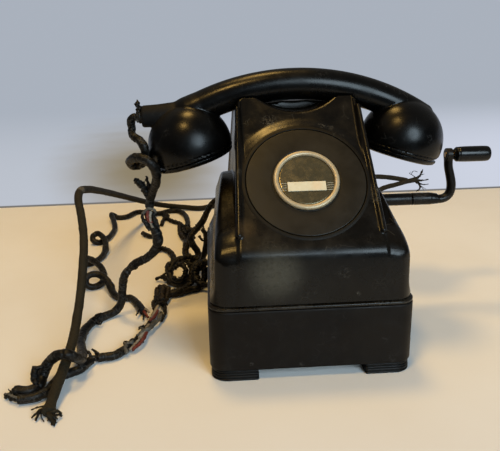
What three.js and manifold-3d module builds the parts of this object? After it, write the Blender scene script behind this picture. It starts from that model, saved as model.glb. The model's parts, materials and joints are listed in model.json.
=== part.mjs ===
// Magneto desk telephone: two-part moulded case on ribbed rubber feet, sloped front with a blanked dial,
// handset in a saddle cradle, hand crank with generator, ringer, and old frayed cords.
// Millimetres. +X to the right of the case, +Y to the back, +Z up. The root is shifted so that the
// bounding box without the cords is centred on X and Y and stands on Z = 0.
import * as THREE from 'three';
import { mergeVertices } from 'three/addons/utils/BufferGeometryUtils.js';
import Module from 'manifold-3d';

const wasm = await Module();
wasm.setup();

// ---------------------------------------------------------------- driving dimensions
const CASE_W = 140;          // width of the base box
const CASE_D = 198;          // depth of the base box
const MID_Y = CASE_D / 2;    // centre of the cradle
const CORNER_R = 12;         // vertical corner radius of the base box
const FOOT_H = 7.7;          // height of the rubber feet
const FOOT_W = 32.5;         // width of a foot
const BASE_Z0 = 8;           // underside of the base box
const SEAM_Z = 51.7;         // top of the base box
const WALL = 3.2;            // wall thickness of both mouldings
const SLOPE_Y0 = 0, SLOPE_Z0 = 89.4;           // start of the sloped front
const SLOPE = [0.6631, 0.7485];                // direction of the slope in Y and Z
const NORMAL = new THREE.Vector3(0, -0.7485, 0.6631);
const BAND_W0 = 49.2, BAND_W1 = 44.3;          // half width of the raised centre band, bottom and top
const TOP_Z = 182.3;         // top of the cradle ears
const DIAL_S = 54.2;         // distance of the dial centre along the slope
const DIAL_R = 41.3;         // radius of the dial blank
const BADGE_R = 18.9;        // radius of the dark badge disc
const RING_R = 22.6;         // outer radius of the bright ring
const HANDSET_X = 2.25;      // middle of the handset
const ARCH_R = 178;          // radius of the handle's centre line
const ARCH_TOP = 191.2;      // highest point of that centre line
const HANDLE_H = 11.8, HANDLE_W = 12;          // half height and half width of the handle
const CUP_R = 32;            // radius of the rounded cups
const CUP_DX = 81.75;        // cup centre from the middle of the handset
const CUP_Z = 146;           // height of the cup centres
const CUP_TILT = 16 * Math.PI / 180;           // inward tilt of the cups
const CRANK_Y = 120, CRANK_Z = 92.4;           // crank axis
const CRANK_THROW = 36.9;    // crank axis to knob axis
const GEAR_C = 31.8;         // crank axis to armature axis
const GAP = 0.3;             // gap between touching pieces
const SHIFT = [-24.05, -103.7, 0];   // centres the box without the cords on X and Y

// ---------------------------------------------------------------- helpers
const V = (x, y, z) => new THREE.Vector3(x, y, z);
function solid(geo) {
  let g = geo.clone();
  g.deleteAttribute('normal');
  g.deleteAttribute('uv');
  g = mergeVertices(g, 1e-4);
  const p = g.attributes.position.array, ix = g.index.array, tri = [];
  for (let i = 0; i < ix.length; i += 3) {
    const a = ix[i], b = ix[i + 1], c = ix[i + 2];
    if (a !== b && b !== c && c !== a) tri.push(a, b, c);
  }
  return new wasm.Manifold(new wasm.Mesh({ numProp: 3, vertProperties: new Float32Array(p), triVerts: new Uint32Array(tri) }));
}
function geometry(m) {
  const mesh = m.getMesh();
  const g = new THREE.BufferGeometry();
  g.setAttribute('position', new THREE.BufferAttribute(new Float32Array(mesh.vertProperties), 3));
  g.setIndex(new THREE.BufferAttribute(new Uint32Array(mesh.triVerts), 1));
  return g;
}
const join = (...s) => s.reduce((a, b) => a.add(b));
const cut = (a, ...s) => s.reduce((m, b) => m.subtract(b), a);
const poly = pts => { const s = new THREE.Shape(); pts.forEach((p, i) => i ? s.lineTo(p[0], p[1]) : s.moveTo(p[0], p[1])); s.closePath(); return s; };
const flat = { bevelEnabled: false, curveSegments: 6 };
// outline in Y and Z, extruded along X from x0 to x1
function alongX(pts, x0, x1) {
  const g = new THREE.ExtrudeGeometry(poly(pts), { ...flat, depth: x1 - x0 });
  g.applyMatrix4(new THREE.Matrix4().makeBasis(V(0, 1, 0), V(0, 0, 1), V(1, 0, 0)).setPosition(x0, 0, 0));
  return solid(g);
}
// outline in X and Z, extruded along Y from y0 to y1
function alongY(pts, y0, y1) {
  const g = new THREE.ExtrudeGeometry(poly(pts), { ...flat, depth: y1 - y0 });
  g.applyMatrix4(new THREE.Matrix4().makeBasis(V(1, 0, 0), V(0, 0, 1), V(0, -1, 0)).setPosition(0, y1, 0));
  return solid(g);
}
// outline in X and Y, extruded along Z from z0 to z1
function alongZ(pts, z0, z1) {
  const g = new THREE.ExtrudeGeometry(poly(pts), { ...flat, depth: z1 - z0 });
  g.translate(0, 0, z0);
  return solid(g);
}
function roundRect(x0, x1, y0, y1, r, n = 4) {
  const out = [];
  const c = [[x1 - r, y1 - r, 0], [x0 + r, y1 - r, 1], [x0 + r, y0 + r, 2], [x1 - r, y0 + r, 3]];
  for (const [cx, cy, q] of c) for (let i = 0; i <= n; i++) {
    const a = (q + i / n) * Math.PI / 2;
    out.push([cx + r * Math.cos(a), cy + r * Math.sin(a)]);
  }
  return out;
}
function box(x0, x1, y0, y1, z0, z1) {
  const g = new THREE.BoxGeometry(x1 - x0, y1 - y0, z1 - z0);
  g.translate((x0 + x1) / 2, (y0 + y1) / 2, (z0 + z1) / 2);
  return solid(g);
}
// turned piece: profile of [radius, height] from the axis to the axis, or closed on itself
function turned(profile, seg, pos, dir) {
  const g = new THREE.LatheGeometry(profile.map(p => new THREE.Vector2(p[0], p[1])), seg);
  g.applyQuaternion(new THREE.Quaternion().setFromUnitVectors(V(0, 1, 0), dir.clone().normalize()));
  g.translate(pos.x, pos.y, pos.z);
  return solid(g);
}
function rod(r, a, b, seg = 12) {
  const L = a.distanceTo(b);
  return turned([[0, 0], [r, 0], [r, L], [0, L]], seg, a, b.clone().sub(a));
}
function tube(rOut, rIn, a, b, seg = 16) {
  const L = a.distanceTo(b);
  return turned([[rIn, 0], [rOut, 0], [rOut, L], [rIn, L], [rIn, 0]], seg, a, b.clone().sub(a));
}
// round or oval bar along a list of points
function bar(points, ru, rv, sides, steps) {
  const s = [];
  for (let i = 0; i < sides; i++) { const a = (i + 0.5) / sides * 2 * Math.PI; s.push([ru * Math.cos(a), rv * Math.sin(a)]); }
  const path = new THREE.CatmullRomCurve3(points.map(p => V(p[0], p[1], p[2])), false, 'centripetal');
  return new THREE.ExtrudeGeometry(poly(s), { bevelEnabled: false, steps, extrudePath: path });
}
// outline moved inwards by d
function inset(pts, d) {
  const n = pts.length, out = [];
  let area = 0;
  for (let i = 0; i < n; i++) { const a = pts[i], b = pts[(i + 1) % n]; area += a[0] * b[1] - a[1] * b[0]; }
  const s = area > 0 ? 1 : -1;
  for (let i = 0; i < n; i++) {
    const a = pts[(i + n - 1) % n], b = pts[i], c = pts[(i + 1) % n];
    const u = [b[0] - a[0], b[1] - a[1]], v = [c[0] - b[0], c[1] - b[1]];
    const lu = Math.hypot(...u), lv = Math.hypot(...v);
    const n1 = [-u[1] / lu * s, u[0] / lu * s], n2 = [-v[1] / lv * s, v[0] / lv * s];
    const m = [n1[0] + n2[0], n1[1] + n2[1]], q = 1 + n1[0] * n2[0] + n1[1] * n2[1];
    out.push([b[0] + m[0] / q * d, b[1] + m[1] / q * d]);
  }
  return out;
}
const mirrorY = half => [...half, ...half.map(p => [CASE_D - p[0], p[1]]).reverse()];
const mirrorX = half => [...half, ...half.map(p => [-p[0], p[1]]).reverse()];

const root = new THREE.Group();
root.name = 'magneto_desk_telephone';
function put(name, shape, color, roughness, metalness) {
  const g = shape.isBufferGeometry ? shape : geometry(shape);
  const m = new THREE.Mesh(g, new THREE.MeshStandardMaterial({ color, roughness, metalness }));
  m.name = name;
  root.add(m);
  return m;
}

// ---------------------------------------------------------------- base box, plate and feet
const baseOuter = alongZ(roundRect(-CASE_W / 2, CASE_W / 2, 0, CASE_D, CORNER_R), BASE_Z0, SEAM_Z - GAP);
const baseInner = alongZ(roundRect(-CASE_W / 2 + WALL, CASE_W / 2 - WALL, WALL, CASE_D - WALL, CORNER_R - WALL), BASE_Z0 - 1, SEAM_Z + 1);
const cordHoleBase = rod(5.3, V(30, CASE_D - 12, 24), V(30, CASE_D + 4, 24));
put('base_housing', cut(baseOuter, baseInner, cordHoleBase), 0x16120f, 0.45, 0);
put('base_plate', alongZ(roundRect(-CASE_W / 2 + WALL + GAP, CASE_W / 2 - WALL - GAP, WALL + GAP, CASE_D - WALL - GAP, CORNER_R - WALL, 3), BASE_Z0, BASE_Z0 + 1.6), 0x2a2a2b, 0.5, 0.8);

const footLayers = [[0, 1.5, 0.0], [1.5, 2.2, 0.8], [2.2, 3.6, 0.1], [3.6, 4.2, 0.8], [4.2, 5.4, 0.2], [5.4, 6.0, 0.8], [6.0, FOOT_H, 0.3]];
function foot(sx, back) {
  const parts = footLayers.map(([a, b, d]) => {
    const pts = [];
    const r = CORNER_R - 1;
    const out = CASE_W / 2 - 0.8 - d, inn = CASE_W / 2 - 0.8 - FOOT_W + d, f = 0.8 + d, bk = 0.8 + FOOT_W - d;
    pts.push([inn, f], [out - r, f]);
    for (let i = 1; i < 4; i++) { const t = i / 4 * Math.PI / 2; pts.push([out - r + r * Math.sin(t), f + r - r * Math.cos(t)]); }
    pts.push([out, f + r], [out, bk], [inn, bk]);
    let q = pts;
    if (back) q = q.map(p => [p[0], CASE_D - p[1]]).reverse();
    if (sx < 0) q = q.map(p => [-p[0], p[1]]).reverse();
    return alongZ(q, a, b);
  });
  return join(...parts);
}
put('foot_front_left', foot(-1, false), 0x0c0c0c, 0.9, 0);
put('foot_front_right', foot(1, false), 0x0c0c0c, 0.9, 0);
put('foot_rear_left', foot(-1, true), 0x0c0c0c, 0.9, 0);
put('foot_rear_right', foot(1, true), 0x0c0c0c, 0.9, 0);

// ---------------------------------------------------------------- upper housing
const onSlope = (s, lift = 0) => V(0, SLOPE_Y0 + SLOPE[0] * s + NORMAL.y * lift, SLOPE_Z0 + SLOPE[1] * s + NORMAL.z * lift);
const frontLow = [[0.9, 57.4], [1.2, 62], [1.2, 87.7], [1.75, 90.5], [3.2, 93.0]];
const bandHalf = [...frontLow, [79.6, 179.25], [82.2, 181.5], [84.4, TOP_Z]];
const wingHalf = [...frontLow, [8.6, 99.0], [13, 101.6], [20, 103.2], [30, 105.2], [42, 109.4], [54, 114], [62, 117.2], [70, 120], [80, 122.6], [90, 124.3]];
const sideProfile = mirrorX([[68.8, 57.4], [67.0, 60.5], [65.6, 66], [65.2, 74], [65.0, 82], [64.5, 90], [63.5, 98], [62.0, 105], [60.6, 111], [59.0, 118], [57.9, 123], [56.4, 125.6], [53.5, 127.4], [46, 129], [44.6, 184]]);
const bandSides = mirrorX([[BAND_W0 + 0.6, 56], [BAND_W0 + 0.2, 88], [BAND_W1, 184]]);
const upperPlan = roundRect(-68.8, 68.8, 0.8, CASE_D - 0.8, 15, 4);
const wings = alongX(mirrorY(wingHalf), -70, 70).intersect(alongY(sideProfile, -2, CASE_D + 2));
const band = alongX(mirrorY(bandHalf), -56, 56).intersect(alongY(bandSides, -2, CASE_D + 2));
const flange = join(
  alongZ(roundRect(-CASE_W / 2, CASE_W / 2, 0, CASE_D, CORNER_R), SEAM_Z, SEAM_Z + 2.6),
  alongZ(roundRect(-CASE_W / 2 + 0.8, CASE_W / 2 - 0.8, 0.5, CASE_D - 0.5, CORNER_R + 1), SEAM_Z + 2.6, SEAM_Z + 6.2));
const crankBoss = rod(10.8, V(56, CRANK_Y, CRANK_Z), V(67.1, CRANK_Y, CRANK_Z), 20);
let upper = join(join(wings, band).intersect(alongZ(upperPlan, SEAM_Z, TOP_Z + 3)), flange, crankBoss);

// raised beads along both edges of the band, front and back
function bead(sx, back) {
  const a = onSlope(17, -0.4), b = onSlope(118, -0.4);
  const pts = [[sx * 47.6, a.y, a.z], [sx * 43.9, b.y, b.z]].map(p => back ? [p[0], CASE_D - p[1], p[2]] : p);
  return solid(bar(pts, 1.6, 1.6, 6, 2));
}
upper = join(upper, bead(-1, false), bead(1, false), bead(-1, true), bead(1, true));

// hollow inside, open at the bottom
const hollowLow = alongX(inset(mirrorY([[1.2, 40], [1.2, 90.4], [8.6, 99.0], [20, 103.2], [42, 109.4], [62, 117.2], [80, 122.6], [90, 124.3]]), WALL), -70, 70)
  .intersect(alongY(inset(mirrorX([[65.2, 40], [65.0, 82], [64.5, 90], [63.5, 98], [60.6, 111], [57.9, 123], [53.5, 130]]), WALL), 0, CASE_D));
const hollowBand = alongX(inset(mirrorY([[1.2, 40], [1.2, 90.4], [68.4, 166.6]]), WALL), -50, 50)
  .intersect(alongY(inset(mirrorX([[BAND_W0, 40], [BAND_W0, 88], [45.3, 168]]), WALL), 0, CASE_D));
upper = cut(upper, join(hollowLow, hollowBand).intersect(alongZ(roundRect(-65.2, 65.2, 4.4, CASE_D - 4.4, 12, 3), 38, 168)));

// saddle: channel that follows the handle, and the arc cut across the ears
const archZ = x => ARCH_TOP - ARCH_R + Math.sqrt(ARCH_R ** 2 - (x - HANDSET_X) ** 2);
const handleUnder = x => archZ(x) - HANDLE_H * Math.sqrt(1 + ((x - HANDSET_X) / (archZ(x) - ARCH_TOP + ARCH_R)) ** 2);
const channel = [];
for (let i = 0; i <= 12; i++) { const x = -54 + i * 9; channel.push([x, handleUnder(x) - GAP - 0.35]); }
channel.push([54, TOP_Z + 30], [-54, TOP_Z + 30]);
const saddle = [];
for (let i = 0; i <= 10; i++) { const a = -Math.PI / 2 + (i / 10 - 0.5) * 1.5; saddle.push([46.7 * Math.cos(a), 218.9 + 46.7 * Math.sin(a)]); }
saddle.push([40, TOP_Z + 30], [-40, TOP_Z + 30]);
const saddleRear = saddle.map(p => [p[0], p[1] + 5.3]);
upper = cut(upper, alongY(channel, MID_Y - HANDLE_W - 0.5, MID_Y + HANDLE_W + 0.5), alongY(saddle, 70, MID_Y), alongY(saddleRear, MID_Y - 1, CASE_D - 70));

// dial recess and opening, plunger holes, crank hole, rear cord holes
upper = cut(upper,
  rod(DIAL_R + 0.5, onSlope(DIAL_S, -2.3), onSlope(DIAL_S, 8), 40),
  rod(33.6, onSlope(DIAL_S, -8), onSlope(DIAL_S, 8), 20),
  rod(3.4, V(-33, MID_Y, 150), V(-33, MID_Y, 190), 10), rod(3.4, V(33, MID_Y, 150), V(33, MID_Y, 190), 10),
  rod(6.6, V(55, CRANK_Y, CRANK_Z), V(75, CRANK_Y, CRANK_Z), 14),
  rod(5.0, V(-48, CASE_D - 12, 76), V(-48, CASE_D + 4, 76), 12), rod(5.0, V(-30, CASE_D - 12, 76), V(-30, CASE_D + 4, 76), 12));
put('upper_housing', upper, 0x14100d, 0.3, 0);

// ---------------------------------------------------------------- dial blank and badge
const dial = (profile, seg) => turned(profile, seg, onSlope(DIAL_S), NORMAL);
put('dial_blank', dial([[0, -6], [32.6, -6], [32.6, -2.0], [DIAL_R, -2.0], [DIAL_R, 0.1], [DIAL_R - 0.8, 0.5], [0, 0.5]], 48), 0x1b1712, 0.55, 0);
put('badge_disc', dial([[0, 0.8], [BADGE_R, 0.8], [BADGE_R, 2.0], [0, 2.0]], 32), 0x171410, 0.35, 0.2);
put('badge_ring', dial([[BADGE_R + GAP, 0.8], [RING_R, 0.8], [RING_R, 1.8], [RING_R - 0.9, 3.0], [BADGE_R + 1.3, 3.2], [BADGE_R + GAP, 2.4], [BADGE_R + GAP, 0.8]], 40), 0xc9c2b4, 0.25, 1);
{
  const g = new THREE.BoxGeometry(26.4, 7.2, 0.4);
  g.applyMatrix4(new THREE.Matrix4().makeBasis(V(1, 0, 0), V(0, SLOPE[0], SLOPE[1]), NORMAL).setPosition(onSlope(DIAL_S - 5.3, 2.5)));
  put('number_card', solid(g), 0xe2d9bd, 0.8, 0);
}

// ---------------------------------------------------------------- chassis, generator
const legs = [[-54, 20], [54, 20], [-54, 178], [54, 178]].map(([x, y]) => rod(3.6, V(x, y, BASE_Z0 + 1.9), V(x, y, 42), 8));
put('chassis', join(box(-60, 60, 10, 188, 41, 43.6), ...legs), 0x8c8a80, 0.5, 0.8);
const plate = x => box(x, x + 2.5, 95, 145, 44, 104);
put('magneto_frame', cut(join(box(-38, 17, 95, 145, 44, 47), plate(-38), plate(14.5)),
  rod(3.9, V(-45, CRANK_Y, CRANK_Z), V(25, CRANK_Y, CRANK_Z), 12), rod(2.4, V(-45, CRANK_Y, CRANK_Z - GEAR_C), V(25, CRANK_Y, CRANK_Z - GEAR_C), 10)), 0x9a8a55, 0.45, 0.9);
const horseshoe = [];
for (let i = 0; i <= 10; i++) { const a = i / 10 * Math.PI; horseshoe.push([CRANK_Y + 24 * Math.cos(a), CRANK_Z + 24 * Math.sin(a)]); }
horseshoe.push([CRANK_Y - 24, 47.6], [CRANK_Y - 14, 47.6]);
for (let i = 0; i <= 8; i++) { const a = Math.PI - i / 8 * Math.PI; horseshoe.push([CRANK_Y + 14 * Math.cos(a), CRANK_Z + 14 * Math.sin(a)]); }
horseshoe.push([CRANK_Y + 14, 47.6], [CRANK_Y + 24, 47.6]);
[-35.2, -19, -2.8].forEach((x, i) => put('magnet_' + (i + 1), alongX(horseshoe, x, x + 15.6), 0x3a3a3c, 0.4, 0.9));
put('armature', turned([[0, -5.5], [2, -5.5], [2, 0.8], [11, 0.8], [11, 46.4], [2, 46.4], [2, 62], [0, 62]], 14, V(-35, CRANK_Y, CRANK_Z - GEAR_C), V(1, 0, 0)), 0x6f6a60, 0.4, 0.9);
function gear(teeth, rTip, rRoot, rHole, x0, x1, z, turn) {
  const pts = [];
  for (let i = 0; i < teeth; i++) {
    const a = (i + turn) / teeth * 2 * Math.PI, h = Math.PI / teeth;
    pts.push([CRANK_Y + rTip * Math.cos(a), z + rTip * Math.sin(a)], [CRANK_Y + rRoot * Math.cos(a + h), z + rRoot * Math.sin(a + h)]);
  }
  return cut(alongX(pts, x0, x1), rod(rHole, V(x0 - 1, CRANK_Y, z), V(x1 + 1, CRANK_Y, z), 10));
}
put('drive_gear', gear(40, 26, 23.6, 3.9, 20, 24, CRANK_Z, 0), 0xb08a45, 0.35, 1);
put('pinion', gear(8, 5.4, 3.6, 2.3, 19.6, 24.4, CRANK_Z - GEAR_C, 0), 0x8a8a8a, 0.35, 1);

// ---------------------------------------------------------------- crank
const C = (x, dz = 0) => V(x, CRANK_Y, CRANK_Z + dz);
put('crank_bushing', tube(9.4, 5.6, C(67.4), C(70.6), 20), 0x1a1a1a, 0.4, 0.9);
put('crank_shaft', turned([[0, -41], [3.6, -41], [3.6, 58], [5.1, 59], [5.1, 102.3], [0, 102.3]], 14, C(0), V(1, 0, 0)), 0x1c1a18, 0.4, 0.7);
const armPath = [[122.6, CRANK_Y, CRANK_Z - 0.9], [127.5, CRANK_Y, CRANK_Z - 0.9], [132.6, CRANK_Y, CRANK_Z + 0.6], [135.6, CRANK_Y, CRANK_Z + 4.4], [136.4, CRANK_Y, CRANK_Z + 10],
  [134.2, CRANK_Y, CRANK_Z + 21], [131.6, CRANK_Y, CRANK_Z + 28], [131.2, CRANK_Y, CRANK_Z + CRANK_THROW]];
const sleeve = turned([[0, 102.6], [5.1, 102.6], [5.1, 118.4], [4.0, 124.4], [0, 124.4]], 14, C(0), V(1, 0, 0));
const eye = rod(5.2, C(129.6, CRANK_THROW), C(134.6, CRANK_THROW), 14);
put('crank_arm', cut(join(sleeve, solid(bar(armPath, 3.5, 4.2, 8, 12)), eye), rod(2.7, C(128, CRANK_THROW), C(140, CRANK_THROW), 10)), 0x1c1a18, 0.4, 0.7);
put('knob_pin', turned([[0, 129.2], [2.4, 129.2], [2.4, 163.2], [0, 163.2]], 10, C(0, CRANK_THROW), V(1, 0, 0)), 0x9c8450, 0.3, 1);
put('crank_knob', turned([[2.8, 135.8], [3.9, 135.8], [5.9, 138.2], [6.3, 139.6], [6.4, 163.4], [5.8, 165.8], [4.6, 166.5], [2.8, 166.5], [2.8, 135.8]], 18, C(0, CRANK_THROW), V(1, 0, 0)), 0x0e0d0c, 0.3, 0);

// ---------------------------------------------------------------- ringer and circuit parts
const gong = [[3.2, 12], [3.2, 10.6], [8, 10.8], [15, 9.2], [20.6, 5.2], [22.6, 0], [24, 0], [22, 6], [16, 10.6], [8, 12.4], [3.2, 12]];
for (const [n, x] of [['left', -33], ['right', 33]]) {
  put('gong_' + n, turned(gong, 16, V(x, 56, 21), V(0, 0, 1)), 0x9d9a90, 0.3, 1);
  put('gong_post_' + n, turned([[0, 0], [6, 0], [6, 2], [2.8, 2], [2.8, 24], [0, 24]], 10, V(x, 56, BASE_Z0 + 1.9), V(0, 0, 1)), 0x8a8a88, 0.4, 1);
  put('ringer_coil_' + n, turned([[2.6, 0], [9.5, 0], [9.5, 36], [2.6, 36], [2.6, 0]], 14, V(x / 2.6, 90, 25), V(0, 1, 0)), 0x5a3a24, 0.7, 0);
}
put('ringer_yoke', join(box(-24, 24, 127, 131, 10, 37), rod(2.2, V(-33 / 2.6, 86, 25), V(-33 / 2.6, 128, 25), 8), rod(2.2, V(33 / 2.6, 86, 25), V(33 / 2.6, 128, 25), 8)), 0x77756c, 0.5, 0.9);
put('clapper', join(rod(1.2, V(0, 60, 27), V(0, 82, 27), 8), turned([[0, -3.2], [2.3, -2.3], [3.2, 0], [2.3, 2.3], [0, 3.2]], 8, V(0, 58, 27), V(0, 0, 1)), box(-18, 18, 81, 84.5, 22, 32)), 0x8f8c82, 0.4, 1);
put('induction_coil', turned([[0, 0], [13, 0], [13, 3], [10, 3], [10, 61], [13, 61], [13, 64], [0, 64]], 14, V(-12, 158, 25), V(1, 0, 0)), 0x4b2f1d, 0.7, 0);
put('condenser', box(-48, -20, 146, 182, 10.2, 34), 0x8f8b80, 0.45, 0.8);
put('terminal_block', box(-40, 40, 160, 176, 43.9, 54), 0x2a1c14, 0.6, 0);
[-30, -10, 10, 30].forEach((x, i) => put('terminal_screw_' + (i + 1), turned([[0, 0], [3.8, 0], [3.8, 1.2], [2.4, 2.2], [0, 2.4]], 10, V(x, 168, 54.3), V(0, 0, 1)), 0xa88f4f, 0.35, 1));
const pin = x => rod(3.0, V(x, MID_Y, 152), V(x, MID_Y, handleUnder(x) - 1.6), 10);
put('hook_plunger', join(box(-37, 37, MID_Y - 3.5, MID_Y + 3.5, 149, 153), pin(-33), pin(33)), 0x17130f, 0.4, 0);
put('hook_switch', join(box(-12, 12, 92, 106, 120, 140), box(-20, 12, 95, 97, 137, 139.5), box(-20, 12, 101, 103, 137, 139.5), box(-3, 3, 92, 94.5, 104.4, 122), box(-3, 3, 92, 94.5, 104.4, 106)), 0x8b7a4a, 0.5, 0.8);

// ---------------------------------------------------------------- handset
const arch = [];
for (let i = 0; i <= 14; i++) { const x = -84 + i * (104 + 84) / 14; arch.push([x, MID_Y, archZ(x) + (x < -70 ? (x + 70) ** 2 * 0.004 : 0)]); }
const cupC = sx => V(HANDSET_X + sx * CUP_DX, MID_Y, CUP_Z);
const cupAxis = sx => V(sx * Math.sin(CUP_TILT), 0, Math.cos(CUP_TILT));
const dome = [[0, -8]];
for (let i = 0; i <= 8; i++) { const a = -0.2527 + (Math.PI / 2 + 0.2527) * i / 8; dome.push([i === 8 ? 0 : CUP_R * Math.cos(a), CUP_R * Math.sin(a)]); }
const cup = sx => turned(dome, 22, cupC(sx), cupAxis(sx));
const well = sx => turned([[0, -10], [25.4, -10], [25.4, 8], [0, 8]], 20, cupC(sx), cupAxis(sx));
const tail = solid(bar([[-76, MID_Y, 172.4], [-88, MID_Y, 170.8], [-102, MID_Y, 169.6], [-114.4, MID_Y, 169.3]], 8.4, 8.4, 10, 4));
put('handset_handle', cut(join(solid(bar(arch, HANDLE_W, HANDLE_H, 12, 12)), cup(-1), cup(1), tail), well(-1), well(1)), 0x0d0c0b, 0.18, 0);
const capProfile = [[0, -12.2], [27.6, -12.2], [29.4, -11.2], [30.6, -8.3], [25.2, -8.3], [0, -8.3]];
for (const [n, sx, holes] of [['transmitter', -1, 6], ['receiver', 1, 6]]) {
  const c = cupC(sx), ax = cupAxis(sx), ux = V(Math.cos(CUP_TILT), 0, -sx * Math.sin(CUP_TILT)), uy = V(0, 1, 0);
  const hs = [rod(2.2, c.clone().addScaledVector(ax, -14), c.clone().addScaledVector(ax, -6), 6)];
  for (let i = 0; i < holes; i++) {
    const a = i / holes * 2 * Math.PI, p = c.clone().addScaledVector(ux, 10 * Math.cos(a)).addScaledVector(uy, 10 * Math.sin(a));
    hs.push(rod(2.2, p.clone().addScaledVector(ax, -14), p.clone().addScaledVector(ax, -6), 6));
  }
  put(n + '_cap', cut(turned(capProfile, 24, c, ax), ...hs), 0x0d0c0b, 0.22, 0);
  put(n + '_capsule', turned([[0, -7.2], [24.9, -7.2], [24.9, 6.6], [0, 6.6]], 18, c, ax), 0x8d8c86, 0.4, 0.9);
}
put('handset_cord_gland', tube(4.6, 3.4, V(-115.1, MID_Y, 169.3), V(-118.4, MID_Y, 169.3), 10), 0x111111, 0.8, 0);

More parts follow.
